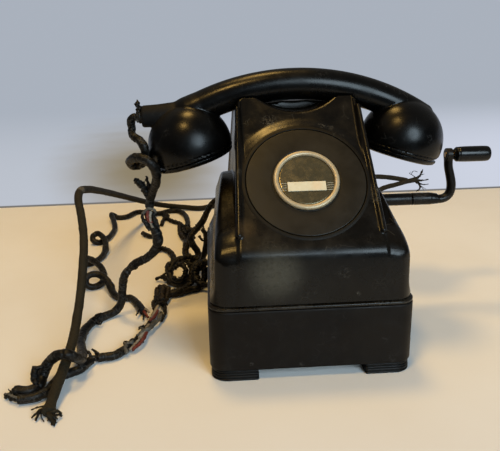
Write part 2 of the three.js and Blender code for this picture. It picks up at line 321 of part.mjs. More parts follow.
// ---------------------------------------------------------------- cords
put('handset_cord_grommet', turned([[3.3, -5], [4.7, -5], [4.7, 0.3], [6.6, 0.3], [6.4, 3], [4.4, 7.4], [3.3, 7.4], [3.3, -5]], 12, V(-48, CASE_D, 76), V(0, 1, 0)), 0x101010, 0.85, 0);
put('remnant_cord_grommet', turned([[2.9, -5], [4.7, -5], [4.7, 0.3], [6.6, 0.3], [6.4, 3], [4.2, 7.4], [2.9, 7.4], [2.9, -5]], 12, V(-30, CASE_D, 76), V(0, 1, 0)), 0x101010, 0.85, 0);
put('line_cord_grommet', turned([[3.8, -5], [5.0, -5], [5.0, 0.3], [7.4, 0.3], [7.2, 3], [5.0, 9.4], [3.8, 9.4], [3.8, -5]], 12, V(30, CASE_D, 24), V(0, 1, 0)), 0x101010, 0.85, 0);
const cords = {
  line_cord: { d: 7.0, r: 3.6, sides: 10, steps: 50, color: 0x4b4232, path: [[225.5, 498.0, 21.7], [209.3, 500.0, 24.7], [190.4, 498.0, 27.9], [171.2, 494.0, 29.4], [110.0, 488.0, 22.0], [40.0, 478.0, 8.0], [-20.0, 468.0, 4.0], [-60.0, 460.0, 3.8], [-82.4, 446.9, 3.8], [-101.8, 452.0, 4.5], [-123.3, 445.0, 9.0], [-141.6, 425.0, 17.8], [-156.6, 388.0, 32.5], [-168.7, 338.0, 50.5], [-176.0, 288.0, 67.0], [-180.0, 238.0, 82.0], [-180.9, 198.0, 92.3], [-181.2, 167.0, 97.8], [-179.5, 150.0, 94.6], [-175.2, 135.0, 84.8], [-171.0, 118.0, 71.5], [-168.9, 98.0, 56.0], [-168.3, 78.0, 40.2], [-168.1, 57.5, 27.9], [-167.8, 37.5, 20.0], [-168.0, 18.5, 15.2], [-169.0, 0.3, 11.3], [-170.2, -17.2, 6.6], [-170.2, -30.1, 3.9]] },
  line_cord_tail: { d: 7.0, r: 3.5, sides: 8, steps: 18, color: 0x4b4232, path: [[30.0, 208.0, 24.0], [33.0, 222.0, 20.0], [40.0, 250.0, 7.5], [62.0, 300.0, 4.2], [95.0, 360.0, 3.8], [140.0, 430.0, 6.0], [183.8, 478.0, 15.7], [203.9, 486.0, 18.3], [224.4, 490.0, 22.1], [237.8, 490.0, 24.5]] },
  handset_cord: { d: 6.4, r: 3.2, sides: 8, steps: 130, color: 0x161616, path: [[-119.3, 99.0, 169.3], [-121.3, 99.1, 168.9], [-122.9, 99.7, 167.0], [-123.3, 100.8, 163.6], [-123.1, 102.0, 160.4], [-123.2, 99.5, 157.5], [-121.0, 93.5, 155.2], [-116.7, 88.5, 153.5], [-113.4, 85.0, 149.3], [-112.4, 86.0, 143.9], [-114.6, 93.0, 137.4], [-119.2, 101.0, 132.4], [-123.8, 99.5, 132.3], [-125.2, 93.0, 136.4], [-121.5, 85.5, 140.3], [-115.7, 79.5, 141.6], [-110.2, 76.8, 139.8], [-106.1, 77.4, 134.8], [-104.9, 82.6, 127.4], [-107.0, 92.0, 119.2], [-110.6, 99.5, 111.3], [-113.5, 104.0, 101.8], [-114.5, 104.0, 92.0], [-111.9, 103.0, 82.2], [-109.0, 103.0, 72.0], [-111.7, 104.0, 62.4], [-119.1, 105.0, 55.1], [-130.3, 107.0, 48.8], [-139.1, 109.0, 38.8], [-142.1, 112.0, 26.5], [-143.5, 113.0, 17.5], [-146.3, 114.5, 9.2], [-151.1, 112.8, 4.4], [-157.8, 107.7, 3.7], [-164.5, 101.0, 3.6], [-169.4, 85.8, 3.6], [-169.4, 65.7, 3.8], [-163.9, 42.2, 6.8], [-158.8, 17.7, 14.0], [-160.2, 9.1, 19.6], [-164.4, 6.4, 24.0], [-170.8, 7.8, 22.8], [-178.1, 11.6, 16.6], [-182.7, 12.3, 9.6], [-184.2, 9.5, 5.2], [-184.7, 1.9, 3.7], [-189.3, -3.9, 3.6], [-198.2, -3.4, 3.6]] },
  handset_cord_base: { d: 6.0, r: 3.0, sides: 8, steps: 120, color: 0x161616, path: [[-48.0, 206.0, 76.0], [-49.5, 212.0, 76.6], [-55.0, 215.0, 76.2], [-63.9, 214.5, 71.1], [-70.2, 214.0, 61.8], [-75.5, 212.0, 52.2], [-82.2, 210.0, 44.8], [-87.3, 207.5, 39.1], [-85.7, 206.0, 31.7], [-82.0, 204.5, 25.8], [-80.7, 203.0, 20.2], [-85.2, 200.0, 16.8], [-91.9, 197.0, 19.1], [-98.5, 193.0, 20.9], [-104.7, 188.0, 17.6], [-107.7, 180.0, 10.5], [-102.3, 173.5, 4.2], [-93.2, 172.0, 4.4], [-87.3, 175.0, 10.5], [-85.3, 179.5, 16.3], [-81.1, 183.0, 19.6], [-77.0, 183.0, 18.4], [-74.7, 179.5, 13.8], [-75.1, 173.0, 7.7], [-78.7, 167.0, 3.1], [-82.8, 159.1, 3.7], [-88.1, 157.4, 3.7], [-94.0, 153.8, 3.7], [-102.0, 149.1, 3.7], [-110.1, 149.1, 3.7], [-114.9, 140.5, 3.7], [-116.2, 126.5, 3.7], [-116.9, 111.2, 3.7], [-119.1, 94.0, 3.7], [-124.8, 71.3, 3.7], [-131.1, 53.1, 3.7], [-139.2, 39.3, 3.7], [-148.5, 36.6, 3.7], [-156.0, 32.3, 3.7], [-160.7, 22.3, 3.7], [-167.2, 16.8, 3.7], [-172.5, 13.4, 3.7], [-175.2, 3.5, 3.7], [-177.9, -6.6, 3.7], [-184.4, -12.2, 3.7], [-193.6, -13.2, 3.7]] },
  cord_remnant: { d: 5.2, r: 2.6, sides: 8, steps: 130, color: 0x1a1815, path: [[-30.0, 206.0, 76.0], [-31.0, 216.0, 74.5], [-40.0, 230.0, 67.0], [-54.0, 240.0, 52.0], [-71.0, 240.0, 27.5], [-73.0, 238.0, 17.8], [-76.5, 236.0, 8.1], [-82.5, 234.5, 3.3], [-89.9, 240.0, 3.3], [-95.4, 261.5, 3.3], [-96.9, 289.2, 3.3], [-96.2, 318.9, 3.3], [-97.2, 351.5, 3.3], [-97.7, 387.0, 3.3], [-103.5, 421.5, 3.3], [-113.8, 439.3, 3.3], [-125.3, 438.3, 3.3], [-136.1, 428.5, 3.3], [-150.1, 434.0, 3.3], [-167.6, 440.5, 3.3], [-180.2, 417.1, 3.3], [-190.6, 416.1, 3.3], [-197.7, 415.0, 8.0], [-192.9, 392.8, 6.0], [-187.7, 367.3, 3.4], [-188.1, 338.9, 3.2], [-192.1, 320.0, 3.2], [-198.1, 311.0, 3.2], [-204.0, 312.1, 5.5], [-205.0, 315.0, 9.5], [-199.6, 317.3, 12.2], [-190.6, 306.7, 9.5], [-186.7, 292.7, 6.5], [-185.2, 277.2, 4.0], [-186.2, 259.9, 3.2], [-190.7, 246.3, 3.2], [-196.3, 240.0, 3.5], [-199.7, 235.4, 7.0], [-197.3, 233.2, 11.0], [-191.2, 228.2, 12.0], [-183.6, 220.9, 10.0], [-177.4, 212.4, 7.0], [-173.6, 201.2, 4.2], [-172.9, 189.2, 3.2], [-175.8, 178.1, 3.2], [-181.3, 174.8, 3.3], [-185.7, 174.9, 6.0], [-186.7, 177.7, 10.5], [-183.4, 181.2, 13.0], [-177.7, 183.2, 13.0], [-171.8, 181.1, 11.5], [-166.4, 175.2, 9.0], [-162.4, 168.5, 5.5], [-159.1, 159.3, 3.2], [-153.3, 148.7, 3.2], [-147.0, 145.3, 3.2], [-141.6, 144.9, 3.3], [-132.8, 129.3, 3.3], [-126.5, 114.1, 3.3]] },
};
// loose strands at the torn ends
const strands = {
  line_cord: [[V(-170.2, -27.5, 3.6), [V(-183, -22.7, 1.6), V(-177.3, -33.8, 1.3), V(-164.5, -41, 1.6), V(-161.8, -29, 2)]]],
  line_cord_tail: [[V(236.4, 490, 24.4), [V(244.8, 488, 39.6), V(255, 487, 24.5), V(236.4, 487, 6.6), V(251, 488, 9.8)]]],
  handset_cord_base: [[V(-191.5, -13, 3.6), [V(-207.6, -6.4, 1.6)]]],
};
for (const [name, c] of Object.entries(cords)) {
  let shape = bar(c.path, c.r, c.r, c.sides, c.steps);
  for (const [from, ends] of strands[name] || []) shape = join(shape.isBufferGeometry ? solid(shape) : shape, ...ends.map(e => rod(0.9, from, e, 6)));
  put(name, shape, c.color, 0.85, 0);
}

root.position.set(SHIFT[0], SHIFT[1], SHIFT[2]);
export default root;
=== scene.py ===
# Magneto desk telephone with its hand crank and old frayed cords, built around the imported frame.
# Lengths below are millimetres in the part's own axes until row() turns them into the row frame in metres.
import json
import math
import numpy as np
import bpy
from mathutils import Matrix, Vector

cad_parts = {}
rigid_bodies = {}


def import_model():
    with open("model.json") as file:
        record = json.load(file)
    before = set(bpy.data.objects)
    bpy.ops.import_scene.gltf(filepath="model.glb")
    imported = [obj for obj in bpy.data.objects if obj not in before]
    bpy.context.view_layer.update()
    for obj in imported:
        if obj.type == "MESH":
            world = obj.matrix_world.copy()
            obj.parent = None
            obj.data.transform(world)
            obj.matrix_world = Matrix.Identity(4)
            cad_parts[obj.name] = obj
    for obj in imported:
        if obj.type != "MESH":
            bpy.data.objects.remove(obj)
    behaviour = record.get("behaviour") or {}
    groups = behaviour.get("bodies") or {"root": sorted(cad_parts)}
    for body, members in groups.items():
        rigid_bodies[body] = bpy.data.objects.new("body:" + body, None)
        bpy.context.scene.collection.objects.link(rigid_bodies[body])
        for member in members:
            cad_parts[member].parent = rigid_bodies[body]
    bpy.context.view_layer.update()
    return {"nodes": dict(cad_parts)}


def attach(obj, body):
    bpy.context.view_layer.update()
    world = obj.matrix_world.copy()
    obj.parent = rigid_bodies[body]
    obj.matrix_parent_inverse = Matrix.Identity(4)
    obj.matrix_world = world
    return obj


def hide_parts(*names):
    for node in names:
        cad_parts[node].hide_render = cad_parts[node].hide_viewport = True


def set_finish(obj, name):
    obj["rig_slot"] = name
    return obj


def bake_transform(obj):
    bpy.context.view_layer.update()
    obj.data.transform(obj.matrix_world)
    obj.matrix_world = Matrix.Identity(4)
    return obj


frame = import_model()

OFF = np.array([-24.05, -103.7, 0.0])


def row(p):
    return (np.asarray(p, float) + OFF) / 1000.0


# ------------------------------------------------------------------ camera
cam_data = bpy.data.cameras.new("camera")
cam = bpy.data.objects.new("camera", cam_data)
bpy.context.scene.collection.objects.link(cam)
right = Vector((0.9975, -0.0677, -0.0192)).normalized()
back = Vector((-0.0593, -0.9558, 0.2879)).normalized()
up = back.cross(right).normalized()
right = up.cross(back).normalized()
rot = Matrix((right, up, back)).transposed()
cam.matrix_world = Matrix.Translation(Vector(row((-63.5, -360.1, 219.1)))) @ rot.to_4x4()
cam_data.lens = 43.2
cam_data.sensor_width = 36
cam_data.sensor_fit = "HORIZONTAL"
cam_data.clip_start, cam_data.clip_end = 0.02, 60
bpy.context.scene.camera = cam


# ------------------------------------------------------------------ mesh helpers
def add_mesh(name, verts, faces, smooth=40, normals=None, scale=True, mats=None):
    v = row(verts) if scale else np.asarray(verts, float)
    me = bpy.data.meshes.new(name)
    faces = [tuple(int(i) for i in f) for f in faces] if not isinstance(faces, np.ndarray) else faces
    if isinstance(faces, np.ndarray):
        k = faces.shape[1]
        me.vertices.add(len(v))
        me.vertices.foreach_set("co", v.astype(np.float32).ravel())
        me.loops.add(faces.size)
        me.loops.foreach_set("vertex_index", faces.astype(np.int32).ravel())
        me.polygons.add(len(faces))
        me.polygons.foreach_set("loop_start", np.arange(0, faces.size, k, dtype=np.int32))
        me.update(calc_edges=True)
    else:
        me.from_pydata([tuple(p) for p in v], [], faces)
    me.validate()
    me.polygons.foreach_set("use_smooth", np.ones(len(me.polygons), bool))
    if mats is not None and len(mats) == len(me.polygons):
        me.polygons.foreach_set("material_index", np.asarray(mats, np.int32))
    if normals is not None and len(normals) == len(me.vertices):
        me.normals_split_custom_set_from_vertices([tuple(n) for n in normals])
    elif smooth:
        me.set_sharp_from_angle(angle=math.radians(smooth))
    me.update()
    ob = bpy.data.objects.new(name, me)
    bpy.context.scene.collection.objects.link(ob)
    return ob


def crom(pts, step):
    """Centripetal Catmull-Rom through pts, resampled evenly; returns points and total length."""
    p = np.asarray(pts, float)
    a = np.vstack([2 * p[0] - p[1], p, 2 * p[-1] - p[-2]])
    out = []
    for i in range(1, len(a) - 2):
        p0, p1, p2, p3 = a[i - 1:i + 3]
        t1 = np.linalg.norm(p1 - p0) ** .5
        t2 = t1 + np.linalg.norm(p2 - p1) ** .5
        t3 = t2 + np.linalg.norm(p3 - p2) ** .5
        t = np.linspace(t1, t2, 24, endpoint=False)[:, None]
        A1 = (t1 - t) / t1 * p0 + t / t1 * p1
        A2 = (t2 - t) / (t2 - t1) * p1 + (t - t1) / (t2 - t1) * p2
        A3 = (t3 - t) / (t3 - t2) * p2 + (t - t2) / (t3 - t2) * p3
        B1 = (t2 - t) / t2 * A1 + t / t2 * A2
        B2 = (t3 - t) / (t3 - t1) * A2 + (t - t1) / (t3 - t1) * A3
        out.append((t2 - t) / (t2 - t1) * B1 + (t - t1) / (t2 - t1) * B2)
    c = np.vstack(out + [p[-1:]])
    d = np.r_[0, np.cumsum(np.linalg.norm(np.diff(c, axis=0), axis=1))]
    n = max(3, int(round(d[-1] / step)) + 1)
    s = np.linspace(0, d[-1], n)
    return np.array([np.interp(s, d, c[:, k]) for k in range(3)]).T, s


def frames(c):
    """Twist-free frames along a line."""
    t = np.gradient(c, axis=0)
    t /= np.maximum(np.linalg.norm(t, axis=1), 1e-9)[:, None]
    u = np.cross(t[0], (0, 0, 1.0))
    if np.linalg.norm(u) < 1e-3:
        u = np.cross(t[0], (0, 1.0, 0))
    u /= np.linalg.norm(u)
    U = [u]
    for i in range(1, len(c)):
        u = U[-1] - (U[-1] @ t[i]) * t[i]
        U.append(u / np.linalg.norm(u))
    U = np.array(U)
    return t, U, np.cross(t, U)


def waves(seed, n, k_lo, k_hi, m_max=3):
    """Smooth seeded wobble of a tube's surface, as a function of length and angle."""
    rs = np.random.RandomState(seed)
    k = np.exp(rs.uniform(math.log(k_lo), math.log(k_hi), n))
    m = rs.randint(-m_max, m_max + 1, n)
    f = rs.uniform(0, 2 * math.pi, n)
    a = 1 / np.sqrt(n)

    def w(s, ang):
        out = 0
        for i in range(n):
            out = out + a * np.sin(k[i] * s + m[i] * ang + f[i])
        return out
    return w


def tube_arrays(pts, radius, step=1.0, sides=14, relief=None, squash=None, base=0):
    """Closed tube along pts. radius(s, total) in mm; relief(s, ang) in mm added to it."""
    c, s = crom(pts, step)
    t, U, W = frames(c)
    ang = np.arange(sides) / sides * 2 * math.pi
    S, A = np.meshgrid(s, ang, indexing="ij")
    R = np.broadcast_to(np.asarray(radius(s, s[-1]), float), s.shape)[:, None] * np.ones_like(A)
    if relief is not None:
        R = R + relief(S, A)
    ca, sa = np.cos(A)[..., None], np.sin(A)[..., None]
    P = c[:, None] + R[..., None] * (ca * U[:, None] + sa * W[:, None])
    if squash is not None:
        P[..., 2] = c[:, None, 2] + (P[..., 2] - c[:, None, 2]) * squash
    P[..., 2] = np.maximum(P[..., 2], 0.12)
    n = len(c)
    v = P.reshape(-1, 3)
    i = np.arange(n - 1)[:, None] * sides
    j = np.arange(sides)[None]
    j2 = (j + 1) % sides
    q = np.stack([i + j, i + j2, i + sides + j2, i + sides + j], -1).reshape(-1, 4)[:, ::-1]
    ends = [c[0] - t[0] * R[0].mean() * 0.35, c[-1] + t[-1] * R[-1].mean() * 0.35]
    ends = [np.array([e[0], e[1], max(e[2], 0.15)]) for e in ends]
    v = np.vstack([v, ends])
    e0, e1 = len(v) - 2, len(v) - 1
    jj = np.arange(sides)
    tri = [(e0, int(a), int((a + 1) % sides)) for a in jj]
    o = (n - 1) * sides
    tri += [(e1, int(o + (a + 1) % sides), int(o + a)) for a in jj]
    faces = [tuple(int(x) + base for x in f) for f in q] + [tuple(x + base for x in f) for f in tri]
    uv_s = np.concatenate([S.ravel(), [s[0], s[-1]]])
    uv_a = np.concatenate([A.ravel() / (2 * math.pi), [0, 0]])
    return v, faces, uv_s, uv_a, c, s


def set_uv(ob, us, ua):
    """Length along the tube in mm and turns round it, kept as two point attributes."""
    me = ob.data
    for n, d in (("along", us), ("around", ua)):
        at = me.attributes.new(n, "FLOAT", "POINT")
        at.data.foreach_set("value", np.asarray(d, np.float32))


def lathe(name, profile, pos, axis, seg=96, closed=False, smooth=35, wobble=None):
    """Turned piece from [radius, height] pairs; an open profile starts and ends on the axis."""
    ax = Vector(axis).normalized()
    q = Vector((0, 0, 1)).rotation_difference(ax)
    prof = [list(map(float, p)) for p in profile]
    v, f, rings = [], [], []
    for r, h in prof:
        if r < 1e-6:
            rings.append([len(v)])
            v.append(q @ Vector((0, 0, h)))
        else:
            rings.append(list(range(len(v), len(v) + seg)))
            for i in range(seg):
                a = i / seg * 2 * math.pi
                rr = r + (wobble(h, a) if wobble else 0)
                v.append(q @ Vector((rr * math.cos(a), rr * math.sin(a), h)))
    m = len(rings)
    for k in range(m if closed else m - 1):
        A, B = rings[k], rings[(k + 1) % m]
        for i in range(seg):
            j = (i + 1) % seg
            if len(A) == 1 and len(B) == 1:
                continue
            if len(A) == 1:
                f.append((A[0], B[j], B[i]))
            elif len(B) == 1:
                f.append((A[i], A[j], B[0]))
            else:
                f.append((A[i], A[j], B[j], B[i]))
    v = np.array([list(p) for p in v]) + np.array(pos, float)
    ob = add_mesh(name, v, f, smooth)
    fix_normals(ob)
    return ob


def fix_normals(ob):
    import bmesh
    bm = bmesh.new()
    bm.from_mesh(ob.data)
    bmesh.ops.recalc_face_normals(bm, faces=bm.faces)
    bm.to_mesh(ob.data)
    bm.free()


def rnd(pts, r, n=4, closed=False):
    """Rounds the corners of an outline by r (a number or one per point)."""
    out = []
    m = len(pts)
    rr = r if hasattr(r, "__len__") else [r] * m
    for i, p in enumerate(pts):
        p = np.array(p, float)
        if (not closed and i in (0, m - 1)) or rr[i] <= 0:
            out.append(list(p))
            continue
        a, b = np.array(pts[(i - 1) % m], float), np.array(pts[(i + 1) % m], float)
        da, db = a - p, b - p
        la, lb = np.linalg.norm(da), np.linalg.norm(db)
        if la < 1e-6 or lb < 1e-6:
            out.append(list(p))
            continue
        k = min(rr[i], la * .48, lb * .48)
        pa, pb = p + da / la * k, p + db / lb * k
        for j in range(n + 1):
            t = j / n
            out.append(list((1 - t) ** 2 * pa + 2 * t * (1 - t) * p + t * t * pb))
    return out


def round_rect(hx, y0, y1, r, n=10):
    out = []
    for cx, cy, q in ((hx - r, y1 - r, 0), (-hx + r, y1 - r, 1), (-hx + r, y0 + r, 2), (hx - r, y0 + r, 3)):
        for i in range(n + 1):
            a = (q + i / n) * math.pi / 2
            out.append((cx + r * math.cos(a), cy + r * math.sin(a)))
    return np.array(out)


def stack(name, rings, closed=False, smooth=40):
    """Skin over rings with the same number of points; open stacks get flat ends."""
    n = len(rings[0])
    v = np.vstack(rings)
    f = []
    m = len(rings)
    for k in range(m if closed else m - 1):
        a, b = k * n, ((k + 1) % m) * n
        for i in range(n):
            j = (i + 1) % n
            f.append((a + i, a + j, b + j, b + i))
    if not closed:
        f.append(tuple(range(n))[::-1])
        f.append(tuple(range((m - 1) * n, m * n)))
    ob = add_mesh(name, v, f, smooth)
    fix_normals(ob)
    return ob


# ------------------------------------------------------------------ distance fields and their skin
def seg_poly(px, py, P):
    """Signed distance to a closed outline, negative inside; px and py may be broadcast against each other."""
    P = np.asarray(P, float)
    best, inside = None, None
    for i in range(len(P)):
        a, b = P[i], P[(i + 1) % len(P)]
        ex, ey = b - a
        wx, wy = px - a[0], py - a[1]
        t = np.clip((wx * ex + wy * ey) / max(ex * ex + ey * ey, 1e-12), 0, 1)
        d = (wx - ex * t) ** 2 + (wy - ey * t) ** 2
        c = ((a[1] <= py) & (py < b[1]) & (ex * wy - ey * wx > 0)) | ((b[1] <= py) & (py < a[1]) & (ex * wy - ey * wx < 0))
        best = d if best is None else np.minimum(best, d)
        inside = c if inside is None else inside ^ c
    return np.where(inside, -1, 1) * np.sqrt(best)


def ri(a, b, r):
    return np.minimum(-r, np.maximum(a, b)) + np.sqrt(np.maximum(r + a, 0) ** 2 + np.maximum(r + b, 0) ** 2)


def ru(a, b, r):
    return np.maximum(r, np.minimum(a, b)) - np.sqrt(np.maximum(r - a, 0) ** 2 + np.maximum(r - b, 0) ** 2)


def capsule(x, y, z, a, b, ra, rb=None):
    a, b = np.array(a, float), np.array(b, float)
    rb = ra if rb is None else rb
    e = b - a
    t = np.clip(((x - a[0]) * e[0] + (y - a[1]) * e[1] + (z - a[2]) * e[2]) / (e @ e), 0, 1)
    d = np.sqrt((x - a[0] - e[0] * t) ** 2 + (y - a[1] - e[1] * t) ** 2 + (z - a[2] - e[2] * t) ** 2)
    return d - (ra + (rb - ra) * t)


def cyl(x, y, z, a, b, r):
    """Signed distance to a flat-ended cylinder."""
    a, b = np.array(a, float), np.array(b, float)
    L = np.linalg.norm(b - a)
    e = (b - a) / L
    h = (x - a[0]) * e[0] + (y - a[1]) * e[1] + (z - a[2]) * e[2]
    d2 = (x - a[0]) ** 2 + (y - a[1]) ** 2 + (z - a[2]) ** 2 - h ** 2
    rr = np.sqrt(np.maximum(d2, 0)) - r
    hh = np.maximum(-h, h - L)
    return np.minimum(np.maximum(rr, hh), 0) + np.sqrt(np.maximum(rr, 0) ** 2 + np.maximum(hh, 0) ** 2)


def skin(f, lo, hi, h):
    """Closed quad mesh of f = 0, its points moved onto it, with the field's own normals."""
    g = [np.arange(lo[k], hi[k] + h, h) for k in range(3)]
    F = f(g[0][:, None, None], g[1][None, :, None], g[2][None, None, :])
    F = np.ascontiguousarray(np.broadcast_to(F, tuple(len(a) for a in g)), dtype=np.float32)
    S = F < 0
    nx, ny, nz = S.shape
    c = np.zeros((nx - 1, ny - 1, nz - 1), np.uint8)
    corners = [(i, j, k) for i in (0, 1) for j in (0, 1) for k in (0, 1)]
    for i, j, k in corners:
        c += S[i:nx - 1 + i, j:ny - 1 + j, k:nz - 1 + k]
    act = (c > 0) & (c < 8)
    idx = np.argwhere(act)
    num = -np.ones(act.shape, np.int64)
    num[act] = np.arange(len(idx))
    acc = np.zeros((len(idx), 3))
    cnt = np.zeros(len(idx))
    vals = {q: F[idx[:, 0] + q[0], idx[:, 1] + q[1], idx[:, 2] + q[2]].astype(float) for q in corners}
    for q in corners:
        for ax in range(3):
            if q[ax]:
                continue
            q2 = list(q)
            q2[ax] = 1
            a, b = vals[q], vals[tuple(q2)]
            m = (a < 0) != (b < 0)
            t = np.where(m, a / np.where(m, a - b, 1), 0)
            p = np.tile(np.array(q, float), (len(idx), 1))
            p[:, ax] = t
            acc[m] += p[m]
            cnt[m] += 1
    V = (idx + acc / cnt[:, None]) * h + np.array([a[0] for a in g])
    quads = []
    for ax in range(3):
        o1, o2 = (ax + 1) % 3, (ax + 2) % 3
        sl0 = [slice(None)] * 3
        sl1 = [slice(None)] * 3
        sl0[ax], sl1[ax] = slice(0, -1), slice(1, None)
        diff = S[tuple(sl0)] != S[tuple(sl1)]
        e = np.argwhere(diff)
        ok = (e[:, o1] > 0) & (e[:, o2] > 0) & (e[:, o1] < S.shape[o1] - 1) & (e[:, o2] < S.shape[o2] - 1)
        e = e[ok]
        inside0 = S[e[:, 0], e[:, 1], e[:, 2]]
        cells = []
        for d1, d2 in ((-1, -1), (0, -1), (0, 0), (-1, 0)):
            q = e.copy()
            q[:, o1] += d1
            q[:, o2] += d2
            cells.append(num[q[:, 0], q[:, 1], q[:, 2]])
        Q = np.stack(cells, 1)
        Q[~inside0] = Q[~inside0][:, ::-1]
        quads.append(Q)
    Q = np.vstack(quads)
    Q = Q[(Q >= 0).all(1)]

    def grad(P, e):
        return np.stack([f(P[:, 0] + (e if k == 0 else 0), P[:, 1] + (e if k == 1 else 0), P[:, 2] + (e if k == 2 else 0))
                         - f(P[:, 0] - (e if k == 0 else 0), P[:, 1] - (e if k == 1 else 0), P[:, 2] - (e if k == 2 else 0)) for k in range(3)], 1) / (2 * e)
    for _ in range(2):
        d = f(V[:, 0], V[:, 1], V[:, 2])
        G = grad(V, 0.12 * h)
        G /= np.maximum(np.linalg.norm(G, axis=1), 1e-6)[:, None]
        V = V - np.clip(d, -.6 * h, .6 * h)[:, None] * G
    G = grad(V, 0.3 * h)
    G /= np.maximum(np.linalg.norm(G, axis=1), 1e-6)[:, None]
    return V, Q, G


def skin_object(name, f, lo, hi, h):
    V, Q, G = skin(f, lo, hi, h)
    return add_mesh(name, V, Q, smooth=0, normals=G)

